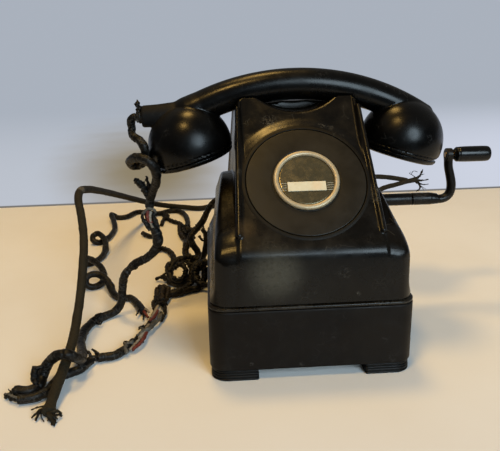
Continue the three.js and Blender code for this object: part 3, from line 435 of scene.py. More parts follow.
# ------------------------------------------------------------------ cord routes
CORDS = {
    "line_cord": (7, [
        (225.5, 498, 21.7), (209.3, 500, 24.7), (190.4, 498, 27.9), (171.2, 494, 29.4), (110, 488, 22), (40, 478, 8),
        (-20, 468, 4), (-60, 460, 3.8), (-82.4, 446.9, 3.8), (-101.8, 452, 4.5), (-123.3, 445, 9),
        (-141.6, 425, 17.8), (-156.6, 388, 32.5), (-168.7, 338, 50.5), (-176, 288, 67), (-180, 238, 82),
        (-180.9, 198, 92.3), (-181.2, 167, 97.8), (-179.5, 150, 94.6), (-175.2, 135, 84.8), (-171, 118, 71.5),
        (-168.9, 98, 56), (-168.3, 78, 40.2), (-168.1, 57.5, 27.9), (-167.8, 37.5, 20), (-168, 18.5, 15.2),
        (-169, 0.3, 11.3), (-170.2, -17.2, 6.6), (-170.2, -30.1, 3.9),
    ]),
    "line_cord_tail": (7, [
        (30, 208, 24), (33, 222, 20), (40, 250, 7.5), (62, 300, 4.2), (95, 360, 3.8), (140, 430, 6),
        (183.8, 478, 15.7), (203.9, 486, 18.3), (224.4, 490, 22.1), (237.8, 490, 24.5),
    ]),
    "handset_cord": (6.4, [
        (-119.3, 99, 169.3), (-121.3, 99.1, 168.9), (-122.9, 99.7, 167), (-123.3, 100.8, 163.6),
        (-123.1, 102, 160.4), (-123.2, 99.5, 157.5), (-121, 93.5, 155.2), (-116.7, 88.5, 153.5), (-113.4, 85, 149.3),
        (-112.4, 86, 143.9), (-114.6, 93, 137.4), (-119.2, 101, 132.4), (-123.8, 99.5, 132.3), (-125.2, 93, 136.4),
        (-121.5, 85.5, 140.3), (-115.7, 79.5, 141.6), (-110.2, 76.8, 139.8), (-106.1, 77.4, 134.8),
        (-104.9, 82.6, 127.4), (-107, 92, 119.2), (-110.6, 99.5, 111.3), (-113.5, 104, 101.8), (-114.5, 104, 92),
        (-111.9, 103, 82.2), (-109, 103, 72), (-111.7, 104, 62.4), (-119.1, 105, 55.1), (-130.3, 107, 48.8),
        (-139.1, 109, 38.8), (-142.1, 112, 26.5), (-143.5, 113, 17.5), (-146.3, 114.5, 9.2), (-151.1, 112.8, 4.4),
        (-157.8, 107.7, 3.7), (-164.5, 101, 3.6), (-169.4, 85.8, 3.6), (-169.4, 65.7, 3.8), (-163.9, 42.2, 6.8),
        (-158.8, 17.7, 14), (-160.2, 9.1, 19.6), (-164.4, 6.4, 24), (-170.8, 7.8, 22.8), (-178.1, 11.6, 16.6),
        (-182.7, 12.3, 9.6), (-184.2, 9.5, 5.2), (-184.7, 1.9, 3.7), (-189.3, -3.9, 3.6), (-198.2, -3.4, 3.6),
    ]),
    "handset_cord_base": (6, [
        (-48, 206, 76), (-49.5, 212, 76.6), (-55, 215, 76.2), (-63.9, 214.5, 71.1), (-70.2, 214, 61.8),
        (-75.5, 212, 52.2), (-82.2, 210, 44.8), (-87.3, 207.5, 39.1), (-85.7, 206, 31.7), (-82, 204.5, 25.8),
        (-80.7, 203, 20.2), (-85.2, 200, 16.8), (-91.9, 197, 19.1), (-98.5, 193, 20.9), (-104.7, 188, 17.6),
        (-107.7, 180, 10.5), (-102.3, 173.5, 4.2), (-93.2, 172, 4.4), (-87.3, 175, 10.5), (-85.3, 179.5, 16.3),
        (-81.1, 183, 19.6), (-77, 183, 18.4), (-74.7, 179.5, 13.8), (-75.1, 173, 7.7), (-78.7, 167, 3.1),
        (-82.8, 159.1, 3.7), (-88.1, 157.4, 3.7), (-94, 153.8, 3.7), (-102, 149.1, 3.7), (-110.1, 149.1, 3.7),
        (-114.9, 140.5, 3.7), (-116.2, 126.5, 3.7), (-116.9, 111.2, 3.7), (-119.1, 94, 3.7), (-124.8, 71.3, 3.7),
        (-131.1, 53.1, 3.7), (-139.2, 39.3, 3.7), (-148.5, 36.6, 3.7), (-156, 32.3, 3.7), (-160.7, 22.3, 3.7),
        (-167.2, 16.8, 3.7), (-172.5, 13.4, 3.7), (-175.2, 3.5, 3.7), (-177.9, -6.6, 3.7), (-184.4, -12.2, 3.7),
        (-193.6, -13.2, 3.7),
    ]),
    "cord_remnant": (5.2, [
        (-30, 206, 76), (-31, 216, 74.5), (-40, 230, 67), (-54, 240, 52), (-71, 240, 27.5), (-73, 238, 17.8),
        (-76.5, 236, 8.1), (-82.5, 234.5, 3.3), (-89.9, 240, 3.3), (-95.4, 261.5, 3.3), (-96.9, 289.2, 3.3),
        (-96.2, 318.9, 3.3), (-97.2, 351.5, 3.3), (-97.7, 387, 3.3), (-103.5, 421.5, 3.3), (-113.8, 439.3, 3.3),
        (-125.3, 438.3, 3.3), (-136.1, 428.5, 3.3), (-150.1, 434, 3.3), (-167.6, 440.5, 3.3), (-180.2, 417.1, 3.3),
        (-190.6, 416.1, 3.3), (-197.7, 415, 8), (-192.9, 392.8, 6), (-187.7, 367.3, 3.4), (-188.1, 338.9, 3.2),
        (-192.1, 320, 3.2), (-198.1, 311, 3.2), (-204, 312.1, 5.5), (-205, 315, 9.5), (-199.6, 317.3, 12.2),
        (-190.6, 306.7, 9.5), (-186.7, 292.7, 6.5), (-185.2, 277.2, 4), (-186.2, 259.9, 3.2), (-190.7, 246.3, 3.2),
        (-196.3, 240, 3.5), (-199.7, 235.4, 7), (-197.3, 233.2, 11), (-191.2, 228.2, 12), (-183.6, 220.9, 10),
        (-177.4, 212.4, 7), (-173.6, 201.2, 4.2), (-172.9, 189.2, 3.2), (-175.8, 178.1, 3.2), (-181.3, 174.8, 3.3),
        (-185.7, 174.9, 6), (-186.7, 177.7, 10.5), (-183.4, 181.2, 13), (-177.7, 183.2, 13), (-171.8, 181.1, 11.5),
        (-166.4, 175.2, 9), (-162.4, 168.5, 5.5), (-159.1, 159.3, 3.2), (-153.3, 148.7, 3.2), (-147, 145.3, 3.2),
        (-141.6, 144.9, 3.3), (-132.8, 129.3, 3.3), (-126.5, 114.1, 3.3),
    ]),
}

# torn ends, strands and loose bits: owner, then lines with start radius, end radius and kind
BITS = {
    "line_cord_fray": ("line_cord", [
        ([(-172.3, -24.9, 4.5), (-175.3, -24.9, 5), (-178.7, -24, 4), (-183, -22.7, 1.6)], 0.75, 0.35, "braid"),
        ([(-173.2, -26.2, 4), (-175.8, -27.8, 4.5), (-178.1, -29.1, 3), (-180.5, -30.9, 1.2)], 0.95, 0.6, "braid"),
        ([(-173.8, -26.5, 3.5), (-175.5, -29.2, 4), (-176.7, -31.1, 2.5), (-177.3, -33.8, 1.2)], 0.9, 0.7, "dark"),
        ([(-173.8, -26.8, 3), (-174.7, -30.1, 3.5), (-173.9, -32.7, 2), (-172, -35, 1)], 0.6, 0.3, "dark"),
        ([(-168.8, -31.6, 4.5), (-166.4, -32.1, 5.5), (-164.3, -30, 4.5), (-162.7, -29.1, 2)], 1, 0.8, "braid"),
        ([(-167.5, -32.4, 3.5), (-164.6, -33.9, 4), (-162.9, -31.6, 3), (-162.2, -31.1, 1.6)], 0.8, 0.7, "dark"),
        ([(-170.5, -29.7, 4), (-168.2, -34.1, 4), (-166.4, -36.1, 2.4), (-164.7, -40.1, 1.2)], 1.7, 0.7, "braid"),
        ([(-171.2, -29.8, 3.4), (-169.2, -34.1, 3), (-167.4, -36.1, 1.8), (-166.2, -38.6, 1)], 1.2, 0.5, "dark"),
        ([(-169, -30.9, 4), (-166, -34.8, 3.6), (-165.1, -35.4, 2.2), (-164.5, -37.3, 1)], 1.3, 0.6, "dark"),
        ([(-169.3, -31.7, 4.6), (-166.6, -35.4, 4.8), (-164.8, -34.9, 3.6), (-163.9, -34.4, 1.8)], 0.9, 0.4, "braid"),
        ([(-172.3, -28, 3), (-171, -31.8, 3), (-170, -33, 1.6), (-169.9, -34.7, 1)], 0.6, 0.3, "dark"),
    ]),
    "line_tail_fray": ("line_cord_tail", [
        ([(233.3, 490, 24.4), (239.9, 490, 27.9), (243, 489, 33.3), (244.8, 488, 39.4)], 2.4, 0.7, "braid"),
        ([(234.8, 490, 24.3), (242.1, 489, 22.8), (249.3, 488, 23.5), (254.1, 487, 24.5)], 2.2, 0.5, "braid"),
        ([(234.9, 490, 22.8), (240.9, 489, 17.5), (242.5, 488, 11.6), (236.4, 487, 6.8)], 2.4, 0.6, "braid"),
        ([(236.1, 489, 23), (243.6, 488, 17.7), (250.1, 487, 16.9), (254.2, 486, 17.7)], 1.5, 0.4, "dark"),
        ([(235.9, 489, 26.7), (242, 488, 31.3), (246.8, 487, 32.8)], 1.4, 0.4, "dark"),
        ([(238.1, 490, 20.4), (245, 489, 12.8), (247.9, 488, 9.2)], 1.1, 0.3, "dark"),
        ([(234.3, 489, 28.3), (228.4, 488, 33.2), (230.8, 487, 37.8), (236.7, 486.5, 36.2)], 0.5, 0.35, "dark"),
        ([(228.4, 488, 32.5), (225.2, 487.5, 34.2), (226.3, 487, 36.8)], 0.5, 0.3, "dark"),
        ([(237.8, 489, 19.1), (248.5, 488, 11.4), (251.3, 487, 10)], 0.5, 0.3, "dark"),
    ]),
    "handset_cord_end": ("handset_cord", [
        ([(-195.1, -3.2, 5.4), (-197.4, -2.7, 6.2), (-199.6, -2.1, 5), (-200.9, -2, 3)], 1.5, 0.7, "jacket"),
        ([(-194.3, -6.9, 3.4), (-196.9, -6.8, 3), (-199.2, -5.8, 2.2)], 1.7, 0.8, "jacket"),
        ([(-197, -4.1, 3.8), (-199.1, -5.4, 4.2), (-201.6, -5.8, 3.4), (-204.5, -5.1, 2.4)], 1.2, 1, "dark"),
        ([(-199.1, -5.2, 4.5), (-200.7, -5, 5), (-202.8, -2.9, 5.4)], 0.5, 0.3, "dark"),
        ([(-197.9, -5.3, 3.4), (-199.8, -7.6, 3.4), (-201.9, -7.5, 2.4)], 1.1, 0.8, "grey"),
    ]),
    "handset_cord_flare": ("handset_cord", [
        ([(-112.8, 103.5, 106), (-115.1, 102.5, 110.7), (-118.1, 101, 115.2), (-120.8, 99.5, 118.8), (-123.5, 98.5, 121.7)], 4.1, 1.9, "jacket"),
        ([(-111.6, 102, 110.3), (-113, 100, 115.6), (-113.9, 98.6, 120), (-114.4, 98, 123.9)], 2.3, 0.9, "jacket"),
        ([(-116.9, 100.5, 115.7), (-119.5, 99, 119.3), (-122.1, 98.4, 120.7)], 2, 1, "jacket"),
    ]),
    "handset_cord_lip": ("handset_cord", [
        ([(-119, 99, 94), (-116.7, 97.5, 97.1), (-113.5, 97, 98.3), (-110.5, 97.6, 97.3), (-109, 99, 94.3)], 1.1, 1, "grey"),
        ([(-119.4, 100, 94.5), (-119.8, 100.5, 89.9), (-117.8, 100.5, 84.8), (-114.7, 101, 79.6)], 1.2, 1.5, "jacket"),
        ([(-108.9, 100, 95.3), (-111, 99, 91.6), (-110.4, 98.6, 87.6), (-108, 99, 82.4)], 1, 1.6, "jacket"),
    ]),
    "handset_cord_red": ("handset_cord", [
        ([(-115.3, 99.5, 96.1), (-115.8, 99, 92.6), (-115, 99, 88.9), (-113, 99.6, 85.8)], 1.5, 1.3, "red"),
        ([(-113, 99.5, 95.6), (-113.7, 98.8, 91.8), (-113.8, 98.8, 87.3), (-112.4, 99.4, 82.1)], 1.1, 1, "cream"),
        ([(-117.1, 100, 94.8), (-117.1, 99.6, 90.8), (-115.7, 99.4, 85.9), (-114.1, 99.8, 81.6)], 0.9, 0.8, "dark"),
    ]),
    "handset_cord_tip": ("handset_cord", [
        ([(-117.9, 98, 166.9), (-116.6, 97, 172.2), (-116.4, 97, 176.2), (-117.1, 97.5, 179.5), (-117.2, 98, 181.8)], 3.6, 0.8, "jacket"),
        ([(-117.4, 97, 177), (-118.5, 97, 178.4), (-119.5, 97, 178.9)], 1.3, 0.5, "jacket"),
        ([(-118.4, 97.5, 169.2), (-119.7, 97, 170.4), (-120.6, 97, 170.5)], 1, 0.4, "jacket"),
        ([(-116.2, 98, 169.9), (-114.8, 98, 174.3), (-115, 98.5, 177.2)], 1.4, 0.7, "jacket"),
    ]),
    "handset_cord_rags": ("handset_cord", [
        ([(-132.4, 103.5, 47.1), (-128.6, 102, 47), (-126.4, 101, 48.9)], 1.6, 0.5, "jacket"),
        ([(-138.3, 106, 37.7), (-135.6, 105, 40.2), (-134, 105, 42.1)], 1.2, 0.4, "jacket"),
        ([(-165.3, 95.8, 7), (-162.9, 100.7, 8), (-160.5, 105.7, 7)], 1.4, 1, "jacket"),
        ([(-162.6, 96.4, 3), (-159.4, 94.2, 3), (-158.5, 96.6, 4)], 1.3, 0.5, "jacket"),
        ([(-160.9, 36.3, 9), (-157.4, 35.2, 9), (-156, 33.6, 7)], 1.6, 0.9, "brown"),
        ([(-162.3, 22.3, 12), (-163.3, 22.2, 9), (-161.2, 21.7, 8), (-157.9, 24.1, 8)], 1.5, 0.9, "brown"),
        ([(-185.8, 5.5, 16), (-186.8, 4.3, 13), (-186.9, 2.1, 9), (-185.4, -0.5, 6)], 2.6, 2, "dark"),
        ([(-184.6, 3.4, 16), (-182, 3.9, 17), (-180.4, 4.9, 16)], 1.6, 0.8, "dark"),
    ]),
    "base_cord_rags": ("handset_cord_base", [
        ([(-110.9, 128.5, 4), (-108.3, 115.6, 4), (-108.1, 105.8, 3), (-109.7, 98.4, 2)], 2.2, 0.8, "jacket"),
        ([(-111.5, 119.8, 6), (-107.8, 122.6, 6), (-106.4, 121.1, 5)], 1.2, 0.5, "jacket"),
        ([(-117.2, 112.2, 6), (-119.2, 118.3, 8), (-118.8, 123.2, 9)], 1.4, 0.8, "brown"),
        ([(-114.5, 121.2, 6.5), (-112.1, 124, 7), (-110.6, 127, 7)], 1.5, 0.7, "brown"),
        ([(-111.1, 107.9, 4), (-108.9, 99.2, 3.4), (-110.4, 95.6, 2)], 1.4, 0.6, "dark"),
    ]),
    "base_cord_foil": ("handset_cord_base", [
        ([(-114.3, 118.1, 6), (-116.2, 105, 6.5), (-117.9, 95.6, 6)], 1.3, 1.1, "cream"),
        ([(-114, 108.7, 5.6), (-116.1, 94.6, 6.4), (-119.1, 90.9, 5.6)], 1.3, 1.1, "red"),
        ([(-110.4, 104.6, 4.6), (-112.2, 90.6, 5.4), (-116.3, 81.9, 5.4), (-121.2, 75.3, 5.4), (-125.3, 80.4, 4.6)], 1.5, 1, "grey"),
        ([(-114.5, 88.9, 5), (-118.1, 75.9, 5.8), (-122.4, 72, 5.4), (-126.1, 65.8, 4.4)], 2, 1.6, "grey"),
        ([(-119.2, 86, 4), (-122.2, 69.3, 4.6), (-124.7, 63.2, 4.4)], 1.7, 1.4, "cream"),
        ([(-120, 77.9, 3.6), (-121, 60.8, 5), (-123.4, 52.2, 5), (-127.6, 45.9, 4)], 1.4, 1.3, "red"),
        ([(-121.8, 64.4, 3.6), (-124.7, 57.1, 5), (-127.4, 50.2, 4.6), (-129.5, 46.1, 4)], 1.2, 1.1, "cream"),
        ([(-128.1, 53.9, 5.2), (-131.5, 51.9, 6), (-133.2, 46.9, 5.4), (-131, 40.6, 4.2)], 1.9, 1.4, "grey"),
        ([(-131, 53.4, 6), (-134.4, 54.5, 6.4), (-134.8, 52.6, 5)], 1, 0.5, "dark"),
        ([(-122.6, 58.6, 5.4), (-120.4, 55.5, 4.6)], 0.9, 0.5, "dark"),
        ([(-122.8, 82.5, 5), (-126.2, 81.2, 4.6), (-126.5, 78.7, 4)], 1.2, 0.6, "jacket"),
    ]),
    "base_cord_break": ("handset_cord_base", [
        ([(-151.9, 38.4, 5.4), (-154.4, 41.1, 7), (-156.6, 43.2, 7)], 1.6, 0.7, "dark"),
        ([(-152.4, 36.8, 5), (-155.1, 36.1, 5.4), (-157.5, 35.2, 5), (-159.1, 32.1, 4.4)], 0.8, 0.6, "brown"),
        ([(-151.9, 35.3, 3.4), (-154.7, 34.8, 3.4), (-157.1, 32.2, 3)], 0.7, 0.5, "red"),
        ([(-152.8, 36.5, 4), (-155.3, 35, 4.4), (-157.6, 33.3, 3.6)], 0.7, 0.5, "grey"),
        ([(-193.8, -12.7, 3.4), (-198.2, -11, 3.2), (-202, -7.5, 3), (-204.5, -7.1, 2)], 1.9, 0.9, "dark"),
        ([(-194, -13.5, 5), (-198.2, -10.1, 4.6), (-201.8, -7, 4), (-204.7, -4.5, 2.6)], 0.9, 0.9, "grey"),
    ]),
    "tangle_curls": ("cord_remnant", [
        ([(-132.8, 429.1, 3), (-126.4, 406.7, 2.8), (-117.2, 390.4, 2.8), (-107.7, 378.6, 2.8), (-101.2, 357.9, 2.8)], 2.4, 2.5, "jacket"),
        ([(-124.7, 418, 3), (-129.4, 400.7, 2.6), (-130.2, 376.2, 2.4)], 2.2, 2, "brown"),
        ([(-150.6, 342, 3), (-144.4, 332.4, 3), (-138, 327.6, 3), (-133.8, 340.6, 3), (-135.5, 370.5, 3), (-141.4, 403.3, 3), (-148.1, 430, 3.2)], 2.6, 2.6, "jacket"),
        ([(-107.6, 377.5, 3), (-105.6, 339.8, 3.4), (-100.7, 315.4, 4), (-94.5, 303.2, 3.4)], 2.2, 2.6, "brown"),
        ([(-76.3, 236, 37.7), (-72.9, 237, 33.5), (-73.9, 238, 26.6)], 2.2, 1.4, "brown"),
        ([(-79.7, 236, 30.2), (-75.8, 237, 24.8), (-72, 238, 26.4)], 1.7, 0.6, "brown"),
    ]),
    "tangle_turns": ("handset_cord_base", [
        ([(-134, 257.3, 3), (-130.4, 272.1, 3.2), (-123.8, 278.9, 3.4), (-115.5, 271.7, 3.4), (-108.9, 251.5, 3.4), (-107.3, 231.1, 3.4), (-110.2, 214.8, 3.6), (-107.7, 182, 10.8)], 2.7, 2.9, "jacket"),
        ([(-112, 206.9, 4), (-112.1, 218.7, 6), (-108.8, 224.5, 7), (-104.4, 219.5, 8)], 2.7, 1.7, "brown"),
        ([(-122.7, 188.5, 3), (-118.5, 188.7, 4.4), (-113.5, 186.1, 5), (-107.2, 176.8, 4.6), (-103.8, 175, 4)], 0.9, 3.4, "dark"),
        ([(-115.8, 185.9, 6), (-113, 189.5, 8), (-111.2, 190.9, 8)], 2, 0.9, "dark"),
        ([(-117, 158.5, 6), (-111.8, 156.9, 7.4), (-106.2, 153.9, 6.4)], 2.8, 1.8, "brown"),
        ([(-117.6, 161, 4), (-117.4, 146.9, 4), (-114.9, 131.1, 4)], 2.9, 2.6, "brown"),
        ([(-112.7, 160.4, 6), (-112.6, 142.8, 7), (-111.7, 129.4, 6)], 3, 2.6, "brown"),
        ([(-107.8, 155.1, 5), (-107.8, 141.2, 5), (-109.7, 131.6, 4)], 2.6, 2, "brown"),
        ([(-118.2, 142.5, 3), (-119.4, 133.8, 3), (-117.8, 125.1, 3)], 1.7, 0.7, "brown"),
        ([(-97.4, 181, 21.9), (-92.1, 180, 22.8), (-88.9, 177, 19.7)], 1.1, 1, "jacket"),
    ]),
    "tangle_rings": ("handset_cord_base", [
        ([(-93.4, 190, 22.6), (-88.6, 184, 19.9), (-86, 178, 14.9), (-85.6, 171, 10), (-89.4, 164, 5.2), (-95.7, 152, 5.5), (-104.3, 150.9, 5)], 3, 2.7, "jacket"),
        ([(-96.7, 188, 22.4), (-89.9, 188, 24.5), (-83.2, 187, 23.1), (-78.5, 184, 20)], 3.1, 3.3, "dark"),
        ([(-77.4, 178, 23.1), (-82.2, 174, 19.8), (-83.6, 169, 14.2), (-80.6, 163, 8.8), (-74.7, 161, 6.4), (-70.9, 160, 6.6)], 2.7, 2.7, "jacket"),
        ([(-70.2, 174, 23.4), (-74, 174, 23.8), (-78.8, 174, 21.7)], 3.2, 3, "jacket"),
        ([(-70.6, 176, 16.4), (-74.1, 178, 14.6), (-75.6, 176, 11.1), (-73.6, 172, 8.1), (-71.1, 170, 10.2)], 1.9, 1.6, "dark"),
        ([(-87.6, 210, 36.2), (-90.6, 208, 30.2), (-92.5, 205, 24), (-92.1, 200, 18.9), (-89.5, 194, 16.3)], 2.3, 2.6, "brown"),
        ([(-91.3, 212, 31), (-94.5, 209, 24.8), (-92.5, 205, 18.7)], 2.2, 2.2, "brown"),
        ([(-78.3, 186, 15.1), (-81.3, 182, 11.1), (-80.5, 176, 6.2)], 2.2, 2, "dark"),
        ([(-104.5, 170, 11.3), (-99.9, 169, 8.5), (-94.7, 170, 10.7), (-92.1, 173, 15.6), (-94.1, 177, 20.1), (-98.9, 179, 20.6), (-102.8, 178, 17.3)], 2.5, 2.4, "jacket"),
        ([(-107.7, 180, 13.6), (-108.7, 184, 16.7), (-106.3, 188, 19.6), (-101.7, 190, 21.4)], 2.2, 1.8, "dark"),
    ]),
    "tangle_knot": ("cord_remnant", [
        ([(-93.9, 222, 45.8), (-89, 218, 42), (-81.9, 216, 43.8), (-76.1, 216, 49.5)], 3.2, 3.4, "jacket"),
        ([(-95.3, 226, 41), (-92.4, 222, 36.3), (-88, 216, 32.7)], 2.9, 2.7, "dark"),
        ([(-90.6, 226, 45.1), (-88.1, 220, 39.9), (-84.4, 214, 34.9)], 2.5, 2.3, "jacket"),
        ([(-74.9, 237, 36.3), (-72.6, 238, 27.1), (-73.5, 237, 16.5), (-76.1, 235, 8.4)], 2.3, 2.1, "brown"),
    ]),
    "remnant_end": ("cord_remnant", [
        ([(-127.5, 116, 3.3), (-124.5, 109, 4), (-121.8, 103, 3)], 1.4, 0.9, "red"),
        ([(-127.5, 116, 3.3), (-126, 107.5, 3), (-125.5, 101, 2)], 1.2, 0.6, "dark"),
        ([(-128, 117, 4.5), (-123.5, 113, 5.6), (-121.2, 108.5, 4.6)], 1.1, 0.8, "cream"),
        ([(-129, 119, 4), (-130.5, 111.5, 5), (-131.5, 106, 4)], 1.3, 0.6, "jacket"),
    ]),
}

# ------------------------------------------------------------------ cords
KINDS = ["jacket", "dark", "brown", "grey", "red", "cream", "braid"]
SKINS = {}      # object name -> names of its material slots


def cracks(seed, total, every, depth):
    """Narrow crosswise splits of an old jacket, each over part of the turn."""
    rs = np.random.RandomState(seed)
    n = int(total / every)
    pos = np.sort(rs.uniform(4, total - 4, n))
    mid = rs.uniform(0, 2 * math.pi, n)
    ext = rs.uniform(.7, 2.4, n)
    wid = rs.uniform(.35, .8, n)
    dep = rs.uniform(.4, 1.0, n) * depth

    def w(s, a):
        out = np.zeros_like(s)
        for p, m, e, k, d in zip(pos, mid, ext, wid, dep):
            near = np.abs(s - p) < 3
            if near.any():
                sk = s[near] - p + .5 * np.sin(a[near] + m)
                da = np.abs((a[near] - m + math.pi) % (2 * math.pi) - math.pi)
                out[near] -= d * np.exp(-(sk / k) ** 2) * np.clip((e - da) * 2, 0, 1)
        return out
    return w


def span(c, s, point):
    """Length along line c that is nearest to a point."""
    return s[np.argmin(((c - np.array(point, float)) ** 2).sum(1))]


def make_cord(name, seed, sides, step, jag, crack, dips=(), swell=(), braid=False, grow=1.0):
    d, pts = CORDS[name]
    c0, s0 = crom(pts, 1.0)
    total = s0[-1]
    w1, w2 = waves(seed, 14, .05, .5, 2), waves(seed + 1, 18, .6, 2.2, 4)
    cr = cracks(seed + 2, total, crack[0], crack[1]) if crack else None
    zones = [(span(c0, s0, a), span(c0, s0, b), r, kind) for a, b, r, kind in dips]
    lumps = [(span(c0, s0, p), half, k) for p, half, k in swell]

    def radius(s, t):
        r = (d / 2 - jag * .6) * (1 + (grow - 1) * np.clip((s - 14) / 30, 0, 1))
        for p, half, k in lumps:
            r = r * (1 + (k - 1) * np.exp(-((s - p) / half) ** 2))
        for a, b, rr, kind in zones:
            edge = 1 / (1 + np.exp(-(s - a) / .35)) * 1 / (1 + np.exp((s - b) / .35))
            r = r + (rr - r) * edge
        return r

    def relief(s, a):
        out = jag * (w1(s, a) * .55 + w2(s, a) * .3)
        if cr is not None:
            out = out + cr(s, a)
        if braid:
            k, m = 2 * math.pi / 3.4, 7
            p = np.sin(k * s + m * a)
            q = np.sin(k * s - m * a)
            over = np.sin(k * s) * np.sin(m * a) > 0
            out = out + .2 * np.where(over, np.abs(p), np.abs(q)) - .1
        return out
    v, f, us, ua, c, s = tube_arrays(pts, radius, step, sides, relief)
    v = np.array(v)
    v[:, 2] = np.maximum(v[:, 2], .06)
    v[:, 0] = np.maximum(v[:, 0], -207.8)
    ob = add_mesh(name + "_run", v, f, 60)
    set_uv(ob, us, ua)
    own = "braid" if braid else "jacket"
    kinds = [own] + sorted({z[3] for z in zones})
    if len(kinds) > 1:
        smid = np.array([us[list(q)].mean() if len(q) == 4 else us[q[0]] for q in f])
        mi = np.zeros(len(f), np.int32)
        for a, b, rr, kind in zones:
            mi[(smid > a) & (smid < b)] = kinds.index(kind)
        ob.data.polygons.foreach_set("material_index", mi)
    SKINS[ob.name] = kinds
    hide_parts(name)
    return ob, c, total, d


def make_bits(name, seed):
    own, lines = BITS[name]
    V, F, US, UA, MI = [], [], [], [], []
    kinds = sorted({l[3] for l in lines})
    base = 0
    for i, (pts, r0, r1, kind) in enumerate(lines):
        w = waves(seed * 31 + i, 10, .5, 2.6, 3)
        amp = .16 * max(r0, r1) + .05
        flat = .8 if kind in ("jacket", "brown", "grey") else 1
        sides = 12 if max(r0, r1) > 1.2 else 9
        v, f, us, ua, c, s = tube_arrays(
            pts, lambda s, t: r0 + (r1 - r0) * (s / t) ** .8, .5, sides,
            lambda s, a: amp * w(s, a) + (.1 * np.sin(6.3 * s / 1.3 + 3 * a) if kind in ("braid", "red", "cream") else 0), base=base)
        v = np.array(v)
        v[:, 2] = np.maximum(v[:, 2], .06)
        V.append(v)
        F += f
        US.append(us)
        UA.append(ua)
        MI += [kinds.index(kind)] * len(f)
        base += len(v)
    ob = add_mesh(name, np.vstack(V), F, 60, mats=MI)
    set_uv(ob, np.concatenate(US), np.concatenate(UA))
    ob.data.polygons.foreach_set("material_index", np.asarray(MI, np.int32))
    SKINS[name] = kinds
    return ob


bits = {n: make_bits(n, i + 3) for i, n in enumerate(BITS)}
runs = {
    "line_cord": make_cord("line_cord", 11, 28, .7, .22, None, braid=True, swell=[((-169, 0, 11.3), 14, 1.04), ((-170.2, -30, 3.9), 5, 1.25)]),
    "line_cord_tail": make_cord("line_cord_tail", 12, 28, .7, .22, None, braid=True, swell=[((236, 490, 24.3), 5, 1.15)]),
    "handset_cord": make_cord(
        "handset_cord", 13, 22, .6, .34, (5.5, .75), grow=1.16,
        dips=[((-114.2, 104, 96.5), (-112.6, 103.2, 84.5), 1.5, "dark")],
        swell=[((-109, 103, 72), 9, 1.22), ((-134, 108, 45), 2.2, .8), ((-106, 77.5, 134.8), 10, 1.08), ((-182, 12, 10), 8, 1.12), ((-197, -3.5, 3.6), 4, 1.1)]),
    "handset_cord_base": make_cord(
        "handset_cord_base", 14, 22, .6, .32, (6, .7), grow=1.13,
        dips=[((-115.6, 134, 3.7), (-128.5, 60, 3.7), 1.6, "dark"), ((-151.6, 35.4, 3.7), (-154.6, 33.4, 3.7), 1.2, "dark")],
        swell=[((-112, 148.5, 3.7), 6, 1.12), ((-85.4, 206, 32), 3, 1.12), ((-102, 173.5, 4.2), 4, 1.12)]),
    "cord_remnant": make_cord("cord_remnant", 15, 18, .7, .3, (7, .6), grow=1.33, swell=[((-188, 283, 3.3), 5, 1.12), ((-165, 166, 7), 4, 1.15), ((-197, 407, 3.3), 5, 1.1)]),
}
for name, (ob, c, total, d) in runs.items():
    parts = [bits[b] for b, (own, _) in BITS.items() if own == name]
    lay = "coiled" if name == "handset_cord" else "loose"
    for o in [ob] + parts:
        if name == "handset_cord":
            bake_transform(o)
        else:
            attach(o, "case")


# ------------------------------------------------------------------ turned and stacked pieces
SL = np.array([0, .6631, .7485])
NO = np.array([0, -.7485, .6631])


def on_slope(s, lift=0, x=0):
    return np.array([x, 0, 89.4]) + SL * s + NO * lift


dial_c = on_slope(54.2)
pieces = {}


def put(name, ob, body, *nodes):
    ob.name = name
    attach(ob, body)
    if nodes:
        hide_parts(*nodes)
    pieces[name] = ob
    return ob


# dial blank: flat face with a fine groove near the rim, a rolled edge and a back
put("dial_face", lathe("dial_face", rnd([(0, -5.6), (32, -5.6), (32, -2.0), (41.25, -2.0), (41.25, .12), (40.85, .48), (24.1, .48), (23.8, .2), (23.0, .2), (22.8, .45), (0, .45)],
    [0, .3, .3, .3, .25, .25, .1, .1, .1, .1, 0], 4), dial_c, NO, 144), "case", "dial_blank")
put("dial_lip", lathe("dial_lip", rnd([(41.62, -1.8), (41.62, .2), (41.95, .5), (43.0, .42), (44.2, .12), (44.9, -.5), (44.2, -1.8)], [.2, .2, .3, .8, .5, .3, .2], 4, True), dial_c, NO, 144, closed=True), "case")
put("badge_plate", lathe("badge_plate", rnd([(0, .6), (18.8, .6), (18.8, 1.4), (18.45, 1.75), (17.8, 1.84), (9, 1.93), (0, 1.96)], [0, .1, .15, .2, .2, 0, 0], 3), dial_c, NO, 120), "case", "badge_disc")
put("badge_rim", lathe("badge_rim", rnd([(19.05, .7), (22.6, .7), (22.6, 2.0), (22.1, 2.75), (21.3, 3.05), (20.3, 3.05), (19.5, 2.7), (19.05, 1.9)], [.1, .3, .7, .8, .8, .8, .7, .3], 5, True), dial_c, NO, 144, closed=True), "case", "badge_ring")


def plane_patch(name, cx, cs, w, h, lift, thick, r=.5, bow=0, nx=24, ny=8):
    """Thin sheet on the sloped front, slightly bowed, with rounded corners and edges."""
    v, f = [], []
    out = round_rect(w / 2, -h / 2, h / 2, r, 5)
    out = rnd([tuple(p) for p in out], 0)
    rings = []
    for inset, z in ((0.25, -thick), (0, -thick + .1), (0, -.12), (.12, 0), (.5, .02)):
        ring = []
        for x, y in out:
            sx, sy = (w / 2 - inset) / (w / 2), (h / 2 - inset) / (h / 2)
            q = on_slope(cs + y * sy, lift + z + bow * (1 - (2 * x / w) ** 2), cx + x * sx)
            ring.append(q)
        rings.append(np.array(ring))
    return stack(name, rings, smooth=50)


